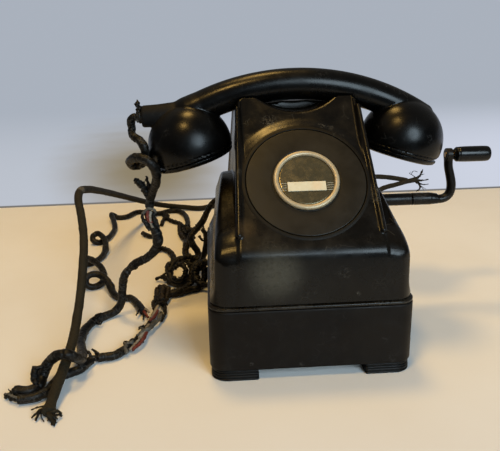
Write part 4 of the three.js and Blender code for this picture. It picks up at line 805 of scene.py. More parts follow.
put("card_sheet", plane_patch("card_sheet", -.3, 48.9, 26.2, 7.1, 2.38, .35, .5, .06), "case", "number_card")

# three fine engraved lines on each side of the card
def line_strip(name, x0, x1, ss, lift):
    V, F = [], []
    for s in ss:
        b = len(V)
        for x in np.linspace(x0, x1, 7):
            for ds, dl in ((-.15, -.25), (-.15, .06), (-.08, .12), (.08, .12), (.15, .06), (.15, -.25)):
                V.append(on_slope(s + ds, lift + dl, x))
        for i in range(6):
            for j in range(6):
                F.append((b + i * 6 + j, b + i * 6 + (j + 1) % 6, b + (i + 1) * 6 + (j + 1) % 6, b + (i + 1) * 6 + j))
        F.append(tuple(b + j for j in range(6))[::-1])
        F.append(tuple(b + 36 + j for j in range(6)))
    ob = add_mesh(name, np.array(V), F, 40)
    fix_normals(ob)
    return ob


LINES = (51.6, 50.0, 48.3, 46.6)
put("card_lines_left", line_strip("card_lines_left", -18.5, -13.9, LINES, 1.80), "case")
put("card_lines_right", line_strip("card_lines_right", 13.3, 18.1, tuple(q - .5 for q in LINES), 1.80), "case")

# crank: flanged bushing, shaft, knob and its pin
AX = (1, 0, 0)
CR = np.array([0, 120, 92.4])
KN = np.array([0, 120, 129.3])
put("bushing_flange", lathe("bushing_flange", rnd([(5.6, 63.2), (9.4, 63.2), (9.4, 69.2), (8.2, 70.4), (6.9, 70.6), (5.6, 70.2)], [0, .2, .6, .6, .3, .3], 4, True), CR, AX, 72, closed=True), "case", "crank_bushing")
put("shaft_rod", lathe("shaft_rod", rnd([(0, -41), (3.5, -41), (3.5, 58), (5.0, 59.2), (5.05, 76), (4.85, 76.4), (4.85, 77.2), (5.05, 77.6), (5.05, 101.6), (4.6, 102.3), (0, 102.3)],
    [0, .3, .3, .5, .2, .1, .1, .2, .5, .3, 0], 4), CR, AX, 56), "crank", "crank_shaft")
put("knob_grip", lathe("knob_grip", rnd([(2.8, 135.8), (3.9, 135.8), (4.3, 136.6), (5.7, 138.0), (6.1, 138.6), (6.15, 139.3), (5.85, 139.8), (6.2, 140.6), (6.4, 146), (6.4, 160), (6.3, 163.2), (5.95, 165.3), (4.9, 166.3), (3.9, 166.5), (2.8, 166.5)],
    [.1, .2, .3, .5, .3, .3, .2, .3, .5, .5, 1, 1, .6, .2, .1], 4, True), KN, AX, 64, closed=True, smooth=50), "knob", "crank_knob")
put("pin_rod", lathe("pin_rod", rnd([(0, 128.9), (2.0, 128.9), (2.4, 129.3), (2.4, 163.2), (0, 163.2)], [0, .3, .2, .2, 0], 3), KN, AX, 40), "crank", "knob_pin")

# gland on the handset and the rear strain reliefs
put("handset_gland", lathe("handset_gland", rnd([(3.35, 0), (5.3, 0), (5.5, .9), (5.0, 1.3), (5.0, 1.6), (5.3, 2.0), (5.1, 2.7), (4.5, 3.1), (4.4, 3.5), (4.6, 4.0), (4.2, 4.7), (3.35, 4.7)], .25, 3, True), (-113.9, 99, 169.3), (-1, 0, 0), 48, closed=True), "handset", "handset_cord_gland")
for nm, r, x, z, L, hole in (("handset_cord_grommet", 6.6, -48, 76, 7.4, 3.2), ("remnant_cord_grommet", 6.6, -30, 76, 7.4, 2.8), ("line_cord_grommet", 7.4, 30, 24, 9.4, 3.7)):
    n = "relief_" + nm[:-8]
    put(n, lathe(n, rnd([(hole, -4.8), (4.6, -4.8), (4.6, .4), (r, .4), (r, 1.8), (r - .5, 2.3), (r - 1.0, 2.5), (r - .8, 3.3), (r - 1.6, 3.9), (r - 1.5, 4.8), (r - 2.1, 5.5), (r - 2.1, L - .8), (r - 2.5, L), (hole, L)],
        [.2, .2, .1, .3, .3, .2, .3, .3, .3, .3, .3, .4, .3, .2], 3, True), (x, 198, z), (0, 1, 0), 48, closed=True), "case", nm)

# seam rim of the upper moulding
def offset_ring(d, z, r=12.0, n=12):
    q = round_rect(70 - d, d, 198 - d, max(r - d, 2), n)
    return np.column_stack([q, np.full(len(q), z)])


rim = [(.45, 51.75), (.14, 51.92), (0, 52.25), (0, 53.05), (.12, 53.4), (.45, 53.65), (1.0, 53.75), (1.5, 53.95), (2.2, 54.1), (3.2, 54.1), (3.6, 53.8), (3.6, 52.2), (3.3, 51.8)]
put("seam_rim", stack("seam_rim", [offset_ring(d, z, 12.4) for d, z in rim], closed=True, smooth=50), "case")

# rubber feet: three lips with grooves between them
def foot_outline(inset, sx, rear):
    r = 11.0
    xo, xi = 69.2 - inset, 69.2 - 32.5 + inset
    y0, y1 = .8 + inset, .8 + 32.5 - inset
    pts = [(xi, y0)]
    for i in range(9):
        a = i / 8 * math.pi / 2
        pts.append((xo - r + r * math.sin(a), y0 + r - r * math.cos(a)))
    pts += [(xo, y1), (xi, y1)]
    radii = [1.6] + [0] * 9 + [1.6, 1.6]
    q = np.array(rnd(pts, radii, 5, True))
    if rear:
        q[:, 1] = 198 - q[:, 1]
    return q * np.array([sx, 1])


FOOT = [(1.2, .0), (.35, .12), (.05, .5), (0, .9), (.1, 1.3), (.6, 1.55), (.85, 1.85), (.6, 2.15), (.15, 2.35), (.05, 2.9), (.15, 3.45), (.6, 3.7), (.85, 3.95), (.6, 4.2), (.2, 4.4), (.12, 4.8),
        (.25, 5.2), (.6, 5.45), (.9, 5.75), (.6, 6.05), (.3, 6.3), (.25, 7.2), (.5, 7.6), (1.4, 7.7)]
for sx, nx in ((-1, "left"), (1, "right")):
    for rear, ny in ((False, "front"), (True, "rear")):
        n = "foot_pad_%s_%s" % (ny, nx)
        put(n, stack(n, [np.column_stack([foot_outline(i, sx, rear), np.full(len(foot_outline(i, sx, rear)), z)]) for i, z in FOOT], smooth=55), "case", "foot_%s_%s" % (ny, nx))


# ------------------------------------------------------------------ upper moulding
def curve2(pts, step=2.0):
    c, _ = crom([(p[0], p[1], 0) for p in pts], step)
    return [tuple(p[:2]) for p in c]


FRONT = [(.9, 30), (.9, 57.4), (.8, 62), (.35, 78), (.3, 83.5)]
TOPS = curve2([(.3, 83.5), (.55, 86.6), (2.2, 90.4), (5.4, 94.4), (9.6, 97.6), (14, 100.0), (20, 102.4), (30, 105.2), (42, 109.0), (54, 113.6), (62, 116.8), (70, 119.6), (80, 122.2), (90, 123.9), (99, 124.4)])
WING = FRONT + TOPS[1:] + [(140, 124.4), (140, 30)]
BAND = [(.9, 30), (.9, 57.4), (.8, 62), (.25, 80)] + [tuple(p) for p in rnd([(.25, 80), (.15, 89.57), (79.3, 178.9)], [0, 4.6, 0], 8)[1:]] + rnd([(79.3, 178.9), (82.5, 182.3), (99, 182.3)], [0, 2.6, 0], 6)[1:] + [(140, 182.3), (140, 30)]
SIDE = [(-30, 30), (68.6, 30)] + curve2([(68.6, 57.4), (66.8, 60.3), (65.5, 65.5), (65.1, 74), (64.9, 82), (64.4, 90), (63.4, 98), (61.9, 105), (60.5, 111), (58.9, 118), (57.7, 124), (56.8, 132), (56.2, 145), (55.8, 160)], 3) + [(55.8, 210), (-30, 210)]


def rect2(x, y, hx, y0, y1, r):
    qx = np.abs(x) - (hx - r)
    qy = np.abs(y - (y0 + y1) / 2) - ((y1 - y0) / 2 - r)
    return np.sqrt(np.maximum(qx, 0) ** 2 + np.maximum(qy, 0) ** 2) + np.minimum(np.maximum(qx, qy), 0) - r


def arch_z(x):
    return 13.2 + np.sqrt(np.maximum(178.0 ** 2 - (x - 2.25) ** 2, 1))


def sstep(a, b, v):
    t = np.clip((v - a) / (b - a), 0, 1)
    return t * t * (3 - 2 * t)


def upper_field(x, y, z):
    ax = np.abs(x)
    yy = np.minimum(y, 198 - y)
    drop = (3.4 - 1.6 * sstep(22, 60, yy)) * np.clip((ax - 47) / 17, 0, 1.2) ** 1.5
    wing = ri(seg_poly(yy, z + drop, WING), seg_poly(ax + 3.4 * sstep(60, 185, y) * sstep(56, 72, z), z, SIDE), 4.6 - 2.4 * sstep(22, 60, yy))
    half = 49.2 + (44.3 - 49.2) * np.clip((z - 88) / 96, -.4, 1.1)
    band = ri(seg_poly(yy, z, BAND), (ax - half) * .9987, 2.2 + 3.6 * sstep(164, 178, z))
    core = ru(wing, band, 1.6)
    core = ri(core, rect2(x, y, 68.8, .1, 197.9, 15), 1.0)
    # the surface above the dial lies a little lower, with a blend that follows the dial's upper edge
    depth = (-0.7485) * yy + .6631 * (z - 89.4)
    along = .6631 * yy + .7485 * (z - 89.4)
    q = np.sqrt(x ** 2 + (along - 54.2) ** 2)
    sink = 2.5 * sstep(43.0, 54, q) * sstep(62, 86, along) * sstep(42.9, 40.6, ax) * (y < 99)
    core = np.where(sink > .02, np.maximum(core, depth + sink), core)
    hollow = np.maximum(core + 3.0, z - 163.4)
    boss = ri(np.sqrt((y - 120) ** 2 + (z - 92.4) ** 2) - 10.6, np.maximum(x - 67.0, 50 - x), .8)
    core = ru(core, boss, 3.0)
    # ribs along both edges of the sloped band
    t = np.clip((z - 100) / 76, 0, 1)
    rib_x = 47.6 + (43.9 - 47.6) * np.clip((z - 102) / 76, 0, 1)
    rib = np.sqrt((ax - rib_x) ** 2 + (depth + .5 - .25 * t) ** 2) - (2.2 - .5 * t)
    rib = ri(rib, np.maximum(13.5 - along, along - 117), 1.9)
    core = ru(core, rib, 1.0)
    shell = ri(core, np.maximum(-hollow, 54.3 - z), .5)
    # cradle: curved trough across the ears and the channel of the handle
    saddle = np.sqrt(x ** 2 + (z - 218.9 - 5.9 * sstep(98.2, 100.6, y)) ** 2) - 46.7
    saddle = np.maximum(saddle, np.abs(y - 99) - 29)
    shell = ri(shell, -saddle, 1.5)
    rho = np.sqrt((x - 2.25) ** 2 + (z - 13.2) ** 2)
    handle = np.sqrt((rho - 178) ** 2 + (y - 99) ** 2) - 12.9
    chan = np.minimum(handle, np.maximum(np.abs(y - 99) - 12.6, 178 - 12.45 - rho))
    shell = ri(shell, -chan, 1.1)
    # dial seat and opening
    front = np.where(y < 99, 0.0, 60.0)
    seat = np.maximum(q - 41.75, -(depth + 2.3)) + front
    shell = ri(shell, -seat, .3)
    shell = np.maximum(shell, -(np.maximum(q - 33.6, -(depth + 12)) + front))
    for px in (-33, 33):
        shell = np.maximum(shell, -np.maximum(np.sqrt((x - px) ** 2 + (y - 99) ** 2) - 3.4, 150 - z))
    shell = np.maximum(shell, -np.maximum(np.sqrt((y - 120) ** 2 + (z - 92.4) ** 2) - 6.4, 50 - x))
    for px in (-48, -30):
        shell = np.maximum(shell, -np.maximum(np.sqrt((x - px) ** 2 + (z - 76) ** 2) - 5.0, 180 - y))
    return shell


put("upper_moulding", skin_object("upper_moulding", upper_field, (-71, -1, 53.5), (71, 199, 184), 1.2), "case", "upper_housing")


# ------------------------------------------------------------------ base moulding
def base_field(x, y, z):
    o = rect2(x, y, 70, 0, 198, 12)
    i = rect2(x, y, 66.8, 3.2, 194.8, 8.8)
    d = ri(ri(o, z - 51.4, 1.4), 8 - z, 1.0)
    d = ri(d, -i, .5)
    d = np.maximum(d, -np.maximum(np.sqrt((x - 30) ** 2 + (z - 24) ** 2) - 5.3, 185 - y))
    return d


put("base_moulding", skin_object("base_moulding", base_field, (-71, -1, 7), (71, 199, 52.4), 1.25), "case", "base_housing")

# ------------------------------------------------------------------ handset
TILT = math.radians(16)


def cup_fields(x, y, z, sx):
    cx, cz = 2.25 + sx * 81.75, 146
    w = (x - cx) * sx * math.sin(TILT) + (z - cz) * math.cos(TILT)
    u = (x - cx) * math.cos(TILT) - (z - cz) * sx * math.sin(TILT)
    rad = np.sqrt(u ** 2 + (y - 99) ** 2)
    ball = np.sqrt(rad ** 2 + w ** 2) - 32
    dome = ri(ball, -8 - w, .9)
    groove = np.sqrt((rad - 31.6) ** 2 + (w + 5.4) ** 2) - .55
    well = np.maximum(rad - 25.4, np.maximum(-10.5 - w, w - 8))
    return dome, well, groove


def handle_field(x, y, z):
    dx = x - 2.25
    rho = np.sqrt(dx ** 2 + (z - 13.2) ** 2)
    bar = np.sqrt((rho - 177.5) ** 2 + (y - 99) ** 2) - 11.65
    fr, fl = math.asin(101.75 / 178), math.asin(86.25 / 178)
    er = (x - 104) * math.cos(fr) - (z - (13.2 + 178 * math.cos(fr))) * math.sin(fr)
    el = -(x + 84) * math.cos(fl) - (z - (13.2 + 178 * math.cos(fl))) * math.sin(fl)
    bar = ri(bar, np.maximum(er, el), 7.0)
    t = [(-76, 99, 172.4), (-88, 99, 170.8), (-102, 99, 169.6), (-114.2, 99, 169.3)]
    tail = np.minimum(np.minimum(capsule(x, y, z, t[0], t[1], 9.6, 8.9), capsule(x, y, z, t[1], t[2], 8.9, 8.5)), capsule(x, y, z, t[2], t[3], 8.5, 8.1))
    tail = ri(tail, -114.6 - x, 1.6)
    d = ru(bar, tail, 5.0)
    for sx in (-1, 1):
        dome, well, groove = cup_fields(x, y, z, sx)
        d = ru(d, dome, .7)
    for sx in (-1, 1):
        dome, well, groove = cup_fields(x, y, z, sx)
        d = np.maximum(d, -well)
        d = ri(d, -groove, .2)
    return d


put("handset_body", skin_object("handset_body", handle_field, (-118, 65, 133), (120, 133, 205), .95), "handset", "handset_handle")


def cap_field(sx):
    cx, cz = 2.25 + sx * 81.75, 146
    P = [(-5, -12.2), (26.8, -12.2), (29.3, -11.3), (30.5, -9.6), (30.6, -8.35), (-5, -8.35)]
    holes = [(0, 0)] + [(10 * math.cos(i / 6 * 2 * math.pi), 10 * math.sin(i / 6 * 2 * math.pi)) for i in range(6)]

    def f(x, y, z):
        w = (x - cx) * sx * math.sin(TILT) + (z - cz) * math.cos(TILT)
        u = (x - cx) * math.cos(TILT) - (z - cz) * sx * math.sin(TILT)
        v = y - 99
        rad = np.sqrt(u ** 2 + v ** 2)
        d = seg_poly(rad, w, P)
        dish = np.sqrt(rad ** 2 + (w + 12.2 + 150 - 1.3) ** 2) - 150
        d = ri(d, -dish, .6)
        for a, b in holes:
            d = ri(d, -(np.sqrt((u - a) ** 2 + (v - b) ** 2) - 2.2), .25)
        return d
    return f


for sx, n in ((-1, "transmitter"), (1, "receiver")):
    cx = 2.25 + sx * 81.75
    put(n + "_ear_cap", skin_object(n + "_ear_cap", cap_field(sx), (cx - 36, 66, 120), (cx + 36, 132, 150), .62), "handset", n + "_cap")


# ------------------------------------------------------------------ crank arm
def arm_field(x, y, z):
    yy, zz = y - 120, z - 92.4
    r = np.sqrt(yy ** 2 + zz ** 2)
    sleeve = seg_poly(r, x, [(-5, 102.6), (5.1, 102.6), (5.1, 118.2), (4.9, 119.4), (4.1, 124.4), (-5, 124.4)])
    ring = np.sqrt((r - 5.2) ** 2 + (x - 104.6) ** 2) - .35
    sleeve = ri(ri(sleeve, 102.6 - x, .5), -ring, .15)
    line = [(121.6, -.4), (127.0, -.7), (131.4, .3), (134.6, 3.0), (136.1, 7.4), (136.0, 13), (134.4, 20), (132.6, 27), (132.0, 36.9)]
    rad = [3.7, 3.6, 3.6, 3.7, 3.7, 3.6, 3.5, 3.5, 3.6]
    c, s = crom([(a, 0, b) for a, b in line], 2.5)
    rr = np.interp(np.linspace(0, 1, len(c)), np.linspace(0, 1, len(rad)), rad)
    d = None
    for i in range(len(c) - 1):
        q = capsule(x, yy * .86, zz, c[i], c[i + 1], rr[i], rr[i + 1])
        d = q if d is None else np.minimum(d, q)
    d = ru(d, sleeve, 1.6)
    eye = ri(np.sqrt(yy ** 2 + (zz - 36.9) ** 2) - 5.3, np.maximum(x - 134.6, 129.4 - x), .7)
    d = ru(d, eye, 1.0)
    d = np.maximum(d, -(np.sqrt(yy ** 2 + (zz - 36.9) ** 2) - 2.6))
    return ri(d, 102.6 - x, .4)


put("arm_bar", skin_object("arm_bar", arm_field, (101, 112, 84), (142, 128, 137), .55), "crank", "crank_arm")

# ------------------------------------------------------------------ materials
class Nodes:
    """One node material; positions are in millimetres of the row frame."""

    def __init__(self, name):
        self.m = bpy.data.materials.new(name)
        self.m.use_nodes = True
        self.t = self.m.node_tree
        self.b = self.t.nodes["Principled BSDF"]
        tc = self.t.nodes.new("ShaderNodeTexCoord")
        vm = self.t.nodes.new("ShaderNodeVectorMath")
        vm.operation = "SCALE"
        vm.inputs[3].default_value = 1000.0
        self.t.links.new(tc.outputs["Object"], vm.inputs[0])
        self.p = vm.outputs[0]
        self.h = None

    def link(self, a, b):
        self.t.links.new(a, b)

    def val(self, sock, v):
        if hasattr(v, "links"):
            self.link(v, sock)
        else:
            sock.default_value = v

    def noise(self, mm, detail=3, rough=.55, dist=0.0, vec=None, dim="3D"):
        n = self.t.nodes.new("ShaderNodeTexNoise")
        n.inputs["Scale"].default_value = 1.0 / mm
        n.inputs["Detail"].default_value = detail
        n.inputs["Roughness"].default_value = rough
        n.inputs["Distortion"].default_value = dist
        self.link(vec or self.p, n.inputs["Vector"])
        return n.outputs["Fac"]

    def stretch(self, sx, sy, sz, rot=(0, 0, 0), vec=None):
        n = self.t.nodes.new("ShaderNodeMapping")
        n.inputs["Scale"].default_value = (sx, sy, sz)
        n.inputs["Rotation"].default_value = rot
        self.link(vec or self.p, n.inputs["Vector"])
        return n.outputs[0]

    def vor(self, mm, feature="DISTANCE_TO_EDGE", vec=None, rand=1.0):
        n = self.t.nodes.new("ShaderNodeTexVoronoi")
        n.feature = feature
        n.inputs["Scale"].default_value = 1.0 / mm
        n.inputs["Randomness"].default_value = rand
        self.link(vec or self.p, n.inputs["Vector"])
        return n.outputs["Distance"]

    def remap(self, v, a, b, c=0.0, d=1.0):
        n = self.t.nodes.new("ShaderNodeMapRange")
        n.interpolation_type = "SMOOTHSTEP"
        self.link(v, n.inputs["Value"])
        for k, q in (("From Min", a), ("From Max", b), ("To Min", c), ("To Max", d)):
            n.inputs[k].default_value = q
        return n.outputs[0]

    def math(self, op, a, b=0.0, clamp=False):
        n = self.t.nodes.new("ShaderNodeMath")
        n.operation = op
        n.use_clamp = clamp
        self.val(n.inputs[0], a)
        self.val(n.inputs[1], b)
        return n.outputs[0]

    def mix(self, f, a, b):
        n = self.t.nodes.new("ShaderNodeMix")
        n.data_type = "RGBA"
        self.val(n.inputs[0], f)
        for s, q in ((n.inputs[6], a), (n.inputs[7], b)):
            self.val(s, q if hasattr(q, "links") else (*q, 1.0))
        return n.outputs[2]

    def spot(self, p, r, soft=.5):
        """1 near a place on the part, 0 away from it; p in the part's own axes."""
        q = row(p) * 1000
        n = self.t.nodes.new("ShaderNodeVectorMath")
        n.operation = "DISTANCE"
        self.link(self.p, n.inputs[0])
        n.inputs[1].default_value = tuple(q)
        return self.remap(n.outputs["Value"], r, r * soft)

    def axis(self, k):
        n = self.t.nodes.new("ShaderNodeSeparateXYZ")
        self.link(self.p, n.inputs[0])
        return n.outputs[k]

    def attr(self, name):
        n = self.t.nodes.new("ShaderNodeAttribute")
        n.attribute_type = "GEOMETRY"
        n.attribute_name = name
        return n.outputs["Fac"]

    def bump(self, height, mm, strength=1.0):
        n = self.t.nodes.new("ShaderNodeBump")
        n.inputs["Strength"].default_value = strength
        n.inputs["Distance"].default_value = mm / 1000.0
        self.link(height, n.inputs["Height"])
        if self.h is not None:
            self.link(self.h, n.inputs["Normal"])
        self.h = n.outputs[0]

    def done(self, color, rough, metallic=0.0, ior=1.5, coat=0.0, coat_rough=.1, sheen=0.0, spec=0.5):
        b = self.b
        self.link(color, b.inputs["Base Color"])
        self.link(rough, b.inputs["Roughness"])
        self.val(b.inputs["Metallic"], metallic)
        b.inputs["IOR"].default_value = ior
        b.inputs["Specular IOR Level"].default_value = spec
        if coat:
            b.inputs["Coat Weight"].default_value = coat
            b.inputs["Coat Roughness"].default_value = coat_rough
        if sheen:
            b.inputs["Sheen Weight"].default_value = sheen
        if self.h is not None:
            self.link(self.h, b.inputs["Normal"])
        return self.m


def scratches(n, mm, wide, angle, keep, vec=None):
    """Sparse fine straight scratches, as a 0..1 mask."""
    v = n.stretch(1, .06, 1, (0, 0, angle), vec)
    d = n.vor(mm, "DISTANCE_TO_EDGE", v)
    a = n.remap(d, wide, 0.0)
    m = n.remap(n.noise(mm * 2.2, 2, .5), keep, keep + .08)
    return n.math("MULTIPLY", a, m)


def moulded(name, dark, brown, rough, dust=.5, spots=(), film=(.085, .078, .062), peel=.02, pits=.35, scr=.5, spec=.5, edge_rough=.16, painted_reflections=(), dull=()):
    n = Nodes(name)
    big = n.remap(n.noise(38, 4, .6), .38, .66)
    mid = n.noise(7, 5, .65)
    fine = n.noise(1.1, 4, .7)
    c = n.mix(big, dark, brown)
    c = n.mix(n.math("MULTIPLY", n.remap(mid, .55, .75), .35), c, tuple(k * 1.5 + .001 for k in brown))
    dustm = n.math("MULTIPLY", n.remap(n.noise(15, 6, .72), .50, .74), dust)
    speck = n.remap(n.vor(3.1, "F1"), .085, .03)
    speck = n.math("MULTIPLY", speck, n.remap(n.noise(13, 3, .6), .56, .66))
    sc = n.math("MAXIMUM", scratches(n, 5.5, .018, .6, .6), scratches(n, 8, .014, -1.1, .6))
    sc = n.math("MULTIPLY", sc, scr)
    marks = None
    for p, r, k in spots:
        s = n.math("MULTIPLY", n.spot(p, r, .25), n.math("MULTIPLY", n.remap(n.noise(1.6, 5, .75, .6), .50, .60), k))
        marks = s if marks is None else n.math("MAXIMUM", marks, s)
    # painted reflections: soft pale or warm patches mixed into the colour where lamps and the bright floor would
    # reflect
    for p, rr, k, reflection_color in painted_reflections:
        reflection_mask = n.math("MULTIPLY", n.spot(p, rr, .15), n.remap(n.noise(2.4, 5, .7), .25, .6, k * .55, k))
        c = n.mix(reflection_mask, c, reflection_color)
    m = n.math("MAXIMUM", n.math("MULTIPLY", speck, .6), sc)
    if marks is not None:
        m = n.math("MAXIMUM", m, marks)
    c = n.mix(n.math("MULTIPLY", dustm, .10), c, film)
    c = n.mix(n.math("MULTIPLY", m, .42, True), c, tuple(k * 1.9 for k in film))
    r = n.math("ADD", n.remap(n.noise(24, 5, .65), .3, .75, rough - .06, rough + edge_rough), n.math("MULTIPLY", fine, .05))
    r = n.math("ADD", r, n.math("MULTIPLY", dustm, .12))
    r = n.math("ADD", r, n.math("MULTIPLY", m, .3), True)
    for p, rr, k in dull:
        r = n.math("ADD", r, n.math("MULTIPLY", n.spot(p, rr, .4), k), True)
    n.bump(n.noise(9, 2, .5), peel * 2.2, .6)
    n.bump(fine, peel * .5, .5)
    n.bump(n.math("MULTIPLY", m, -1.0), .03, pits)
    return n.done(c, r, spec=spec)


M = {}
# case bakelite; its three patches are painted reflections: a broad faint sheen on the lower front, a pale patch on the
# front face and a warm brown patch low on the left of the slope
M["case"] = moulded("case_moulding_gloss", (.0016, .0013, .0009), (.0036, .0025, .0014), .22, .35, spec=.22, painted_reflections=[
    ((-22, 0, 68), 52, .75, (.0085, .0080, .0070)), ((-25, 0, 77), 24, .62, (.085, .080, .060)), (on_slope(20, 0, -43), 9, .6, (.055, .034, .014))], spots=[
    (on_slope(104, 0, -21), 9, .9), (on_slope(101, 0, -15), 7, .7), (on_slope(100, 0, 16), 4, .9), (on_slope(98, 0, 22), 4, .9),
    (on_slope(62, 0, -46), 3.5, .8), (on_slope(46, 0, 46.5), 7, 1.0), (on_slope(38, 0, 47), 6, .9), ((30, 1, 61), 2.2, 1.0), ((-52, 1, 80), 6, .15),
    ((20, 1, 76), 7, .3), ((-12, 1, 74), 4, .3), ((44, 3, 66), 10, .12), ((-40, 2, 88), 6, .12), (on_slope(10, 0, -32), 5, .15), (on_slope(8, 0, 38), 5, .15)])
# seam rim: the case bakelite painted lighter and browner, a painted highlight line along the seam; its spots are pale
# scuffs
M["rim"] = moulded("case_rim_gloss", (.0050, .0040, .0028), (.0105, .0075, .0045), .24, .5, spec=.3, spots=[((-20, 0, 55), 26, .5), ((52, 0, 56), 20, .5), ((-60, 0, 55), 9, .6)])
M["base"] = moulded("base_moulding_satin", (.0036, .0026, .0021), (.0060, .0046, .0036), .44, .7, spec=.15, spots=[((13, 0, 31), 4, .22), ((-42, 0, 13), 2.0, .9), ((-8, 0, 11), 3, .5), ((55, 0, 12), 5, .4)], film=(.06, .056, .05), peel=.03, scr=.3)
M["dial"] = moulded("dial_face_satin", (.0074, .0054, .0025), (.0110, .0082, .0038), .38, .35, spec=.25, film=(.07, .064, .045), peel=.008, pits=.15, scr=.25)
M["lip"] = moulded("dial_lip_gloss", (.0050, .0040, .0025), (.0085, .0065, .0038), .46, .3, spec=.12)
M["handset"] = moulded("handset_moulding_polished", (.0009, .0009, .0009), (.0020, .0018, .0016), .24, .25, spec=.2, spots=[
    ((70, 92, 190), 4, .8), ((76, 90, 178), 3, .7), ((-96, 75, 160), 5, .35), ((96, 72, 150), 6, .35), ((-30, 88, 198), 8, .25), ((20, 88, 200), 9, .22)],
    film=(.06, .06, .06), peel=.012, pits=.25, scr=.5, edge_rough=.10, dull=[((-106, 99, 174), 26, .42)])


def rubber(name, dark, pale, rough, film=(.09, .088, .08), spec=.5):
    n = Nodes(name)
    big = n.remap(n.noise(11, 4, .65), .35, .7)
    fine = n.noise(.8, 4, .7)
    c = n.mix(big, dark, pale)
    c = n.mix(n.math("MULTIPLY", n.remap(n.noise(4, 6, .75), .52, .72), .5), c, film)
    r = n.remap(fine, .3, .7, rough - .08, rough + .1)
    n.bump(fine, .08, .6)
    n.bump(n.noise(3, 3, .6), .1, .5)
    return n.done(c, r, spec=spec)


M["foot"] = rubber("foot_rubber_aged", (.0020, .0020, .0020), (.0045, .0043, .0040), .44, (.012, .0115, .011), .2)
M["gland"] = rubber("relief_rubber", (.006, .006, .006), (.013, .012, .011), .5, (.04, .038, .034), .3)


def cord_skin(name, dark, brown, crack, crack_k, rough, film, film_k, ring_k=.6, spec=.25):
    """Old jacket: uneven tone, crosswise splits with pale edges, rubbed patches."""
    n = Nodes(name)
    s, a = n.attr("along"), n.attr("around")
    t = n.t.nodes.new("ShaderNodeCombineXYZ")
    n.link(s, t.inputs[0])
    aa = n.math("MULTIPLY", a, 18.0)
    n.link(aa, t.inputs[1])
    tone = n.remap(n.noise(13, 4, .6), .36, .66)
    c = n.mix(tone, dark, brown)
    rub = n.math("MULTIPLY", n.remap(n.noise(3.2, 6, .75), .50, .70), film_k)
    c = n.mix(rub, c, film)
    v = n.stretch(1.0, .34, 1.0, vec=n.stretch(1, 1, 1))
    split = n.remap(n.vor(2.7), .055, .0)
    split = n.math("MULTIPLY", split, n.remap(n.noise(6.5, 3, .6), .44, .58))
    ring = n.remap(n.noise(1.0, 2, .5, vec=n.stretch(.75, .02, 1.0, vec=t.outputs[0])), .62, .70)
    ring = n.math("MULTIPLY", ring, ring_k)
    k = n.math("MAXIMUM", split, ring)
    c = n.mix(n.math("MULTIPLY", k, crack_k), c, crack)
    r = n.math("ADD", n.remap(n.noise(2.2, 4, .7), .3, .7, rough - .12, rough + .14), n.math("MULTIPLY", k, .2))
    n.bump(n.noise(1.3, 4, .7), .22, .8)
    n.bump(n.math("MULTIPLY", k, -1.0), .18, .7)
    return n.done(c, r, spec=spec)


M["jacket"] = cord_skin("cord_rubber_cracked", (.0020, .0019, .0017), (.0046, .0036, .0027), (.14, .135, .125), .5, .42, (.011, .0100, .0085), .40, spec=.2)
M["dark"] = cord_skin("cord_inner_dark", (.0020, .0018, .0016), (.0045, .0036, .0028), (.06, .056, .05), .25, .48, (.012, .0105, .009), .35, spec=.2)
M["brown"] = cord_skin("cord_rubber_brown", (.0048, .0033, .0021), (.0120, .0078, .0048), (.08, .064, .048), .35, .5, (.026, .019, .0135), .5)
M["grey"] = cord_skin("cord_tape_grey", (.060, .057, .050), (.12, .115, .10), (.02, .018, .016), .6, .6, (.17, .16, .14), .6)
M["red"] = cord_skin("strand_red", (.11, .020, .014), (.17, .036, .026), (.04, .015, .012), .5, .5, (.14, .07, .055), .5)
M["cream"] = cord_skin("strand_cream", (.21, .18, .14), (.32, .28, .22), (.08, .065, .05), .5, .65, (.16, .13, .10), .55)


def braid(name):
    n = Nodes(name)
    s, a = n.attr("along"), n.attr("around")
    k, m = 2 * math.pi / 3.4, 7 * 2 * math.pi
    ks, ma = n.math("MULTIPLY", s, k), n.math("MULTIPLY", a, m)
    over = n.math("MULTIPLY", n.math("SINE", ks), n.math("SINE", ma))
    pl = n.math("ABSOLUTE", n.math("SINE", n.math("ADD", ks, ma)))
    mi = n.math("ABSOLUTE", n.math("SINE", n.math("SUBTRACT", ks, ma)))
    sel = n.remap(over, -.05, .05)
    weave = n.math("ADD", n.math("MULTIPLY", pl, sel), n.math("MULTIPLY", mi, n.math("SUBTRACT", 1.0, sel)))
    fib = n.noise(.5, 3, .7)
    c = n.mix(n.remap(n.noise(24, 4, .65), .35, .68), (.0150, .0118, .0060), (.026, .0205, .0105))
    c = n.mix(n.remap(weave, .0, .6), (.0055, .0045, .0030), c)
    c = n.mix(n.math("MULTIPLY", n.remap(fib, .45, .75), .5), c, (.040, .033, .020))
    worn = n.math("MULTIPLY", n.remap(n.noise(9, 5, .7), .56, .72), .6)
    c = n.mix(worn, c, (.012, .0105, .0085))
    r = n.remap(fib, .3, .7, .62, .85)
    n.bump(weave, .22, .8)
    n.bump(fib, .12, .7)
    bare = n.math("MULTIPLY", n.spot((-181, 168, 97.6), 9, .3), n.remap(n.noise(1.8, 4, .7), .38, .6))
    c = n.mix(n.math("MULTIPLY", bare, .8), c, (.22, .20, .16))
    return n.done(c, r, spec=.2)


M["braid"] = braid("cord_braid_cloth")


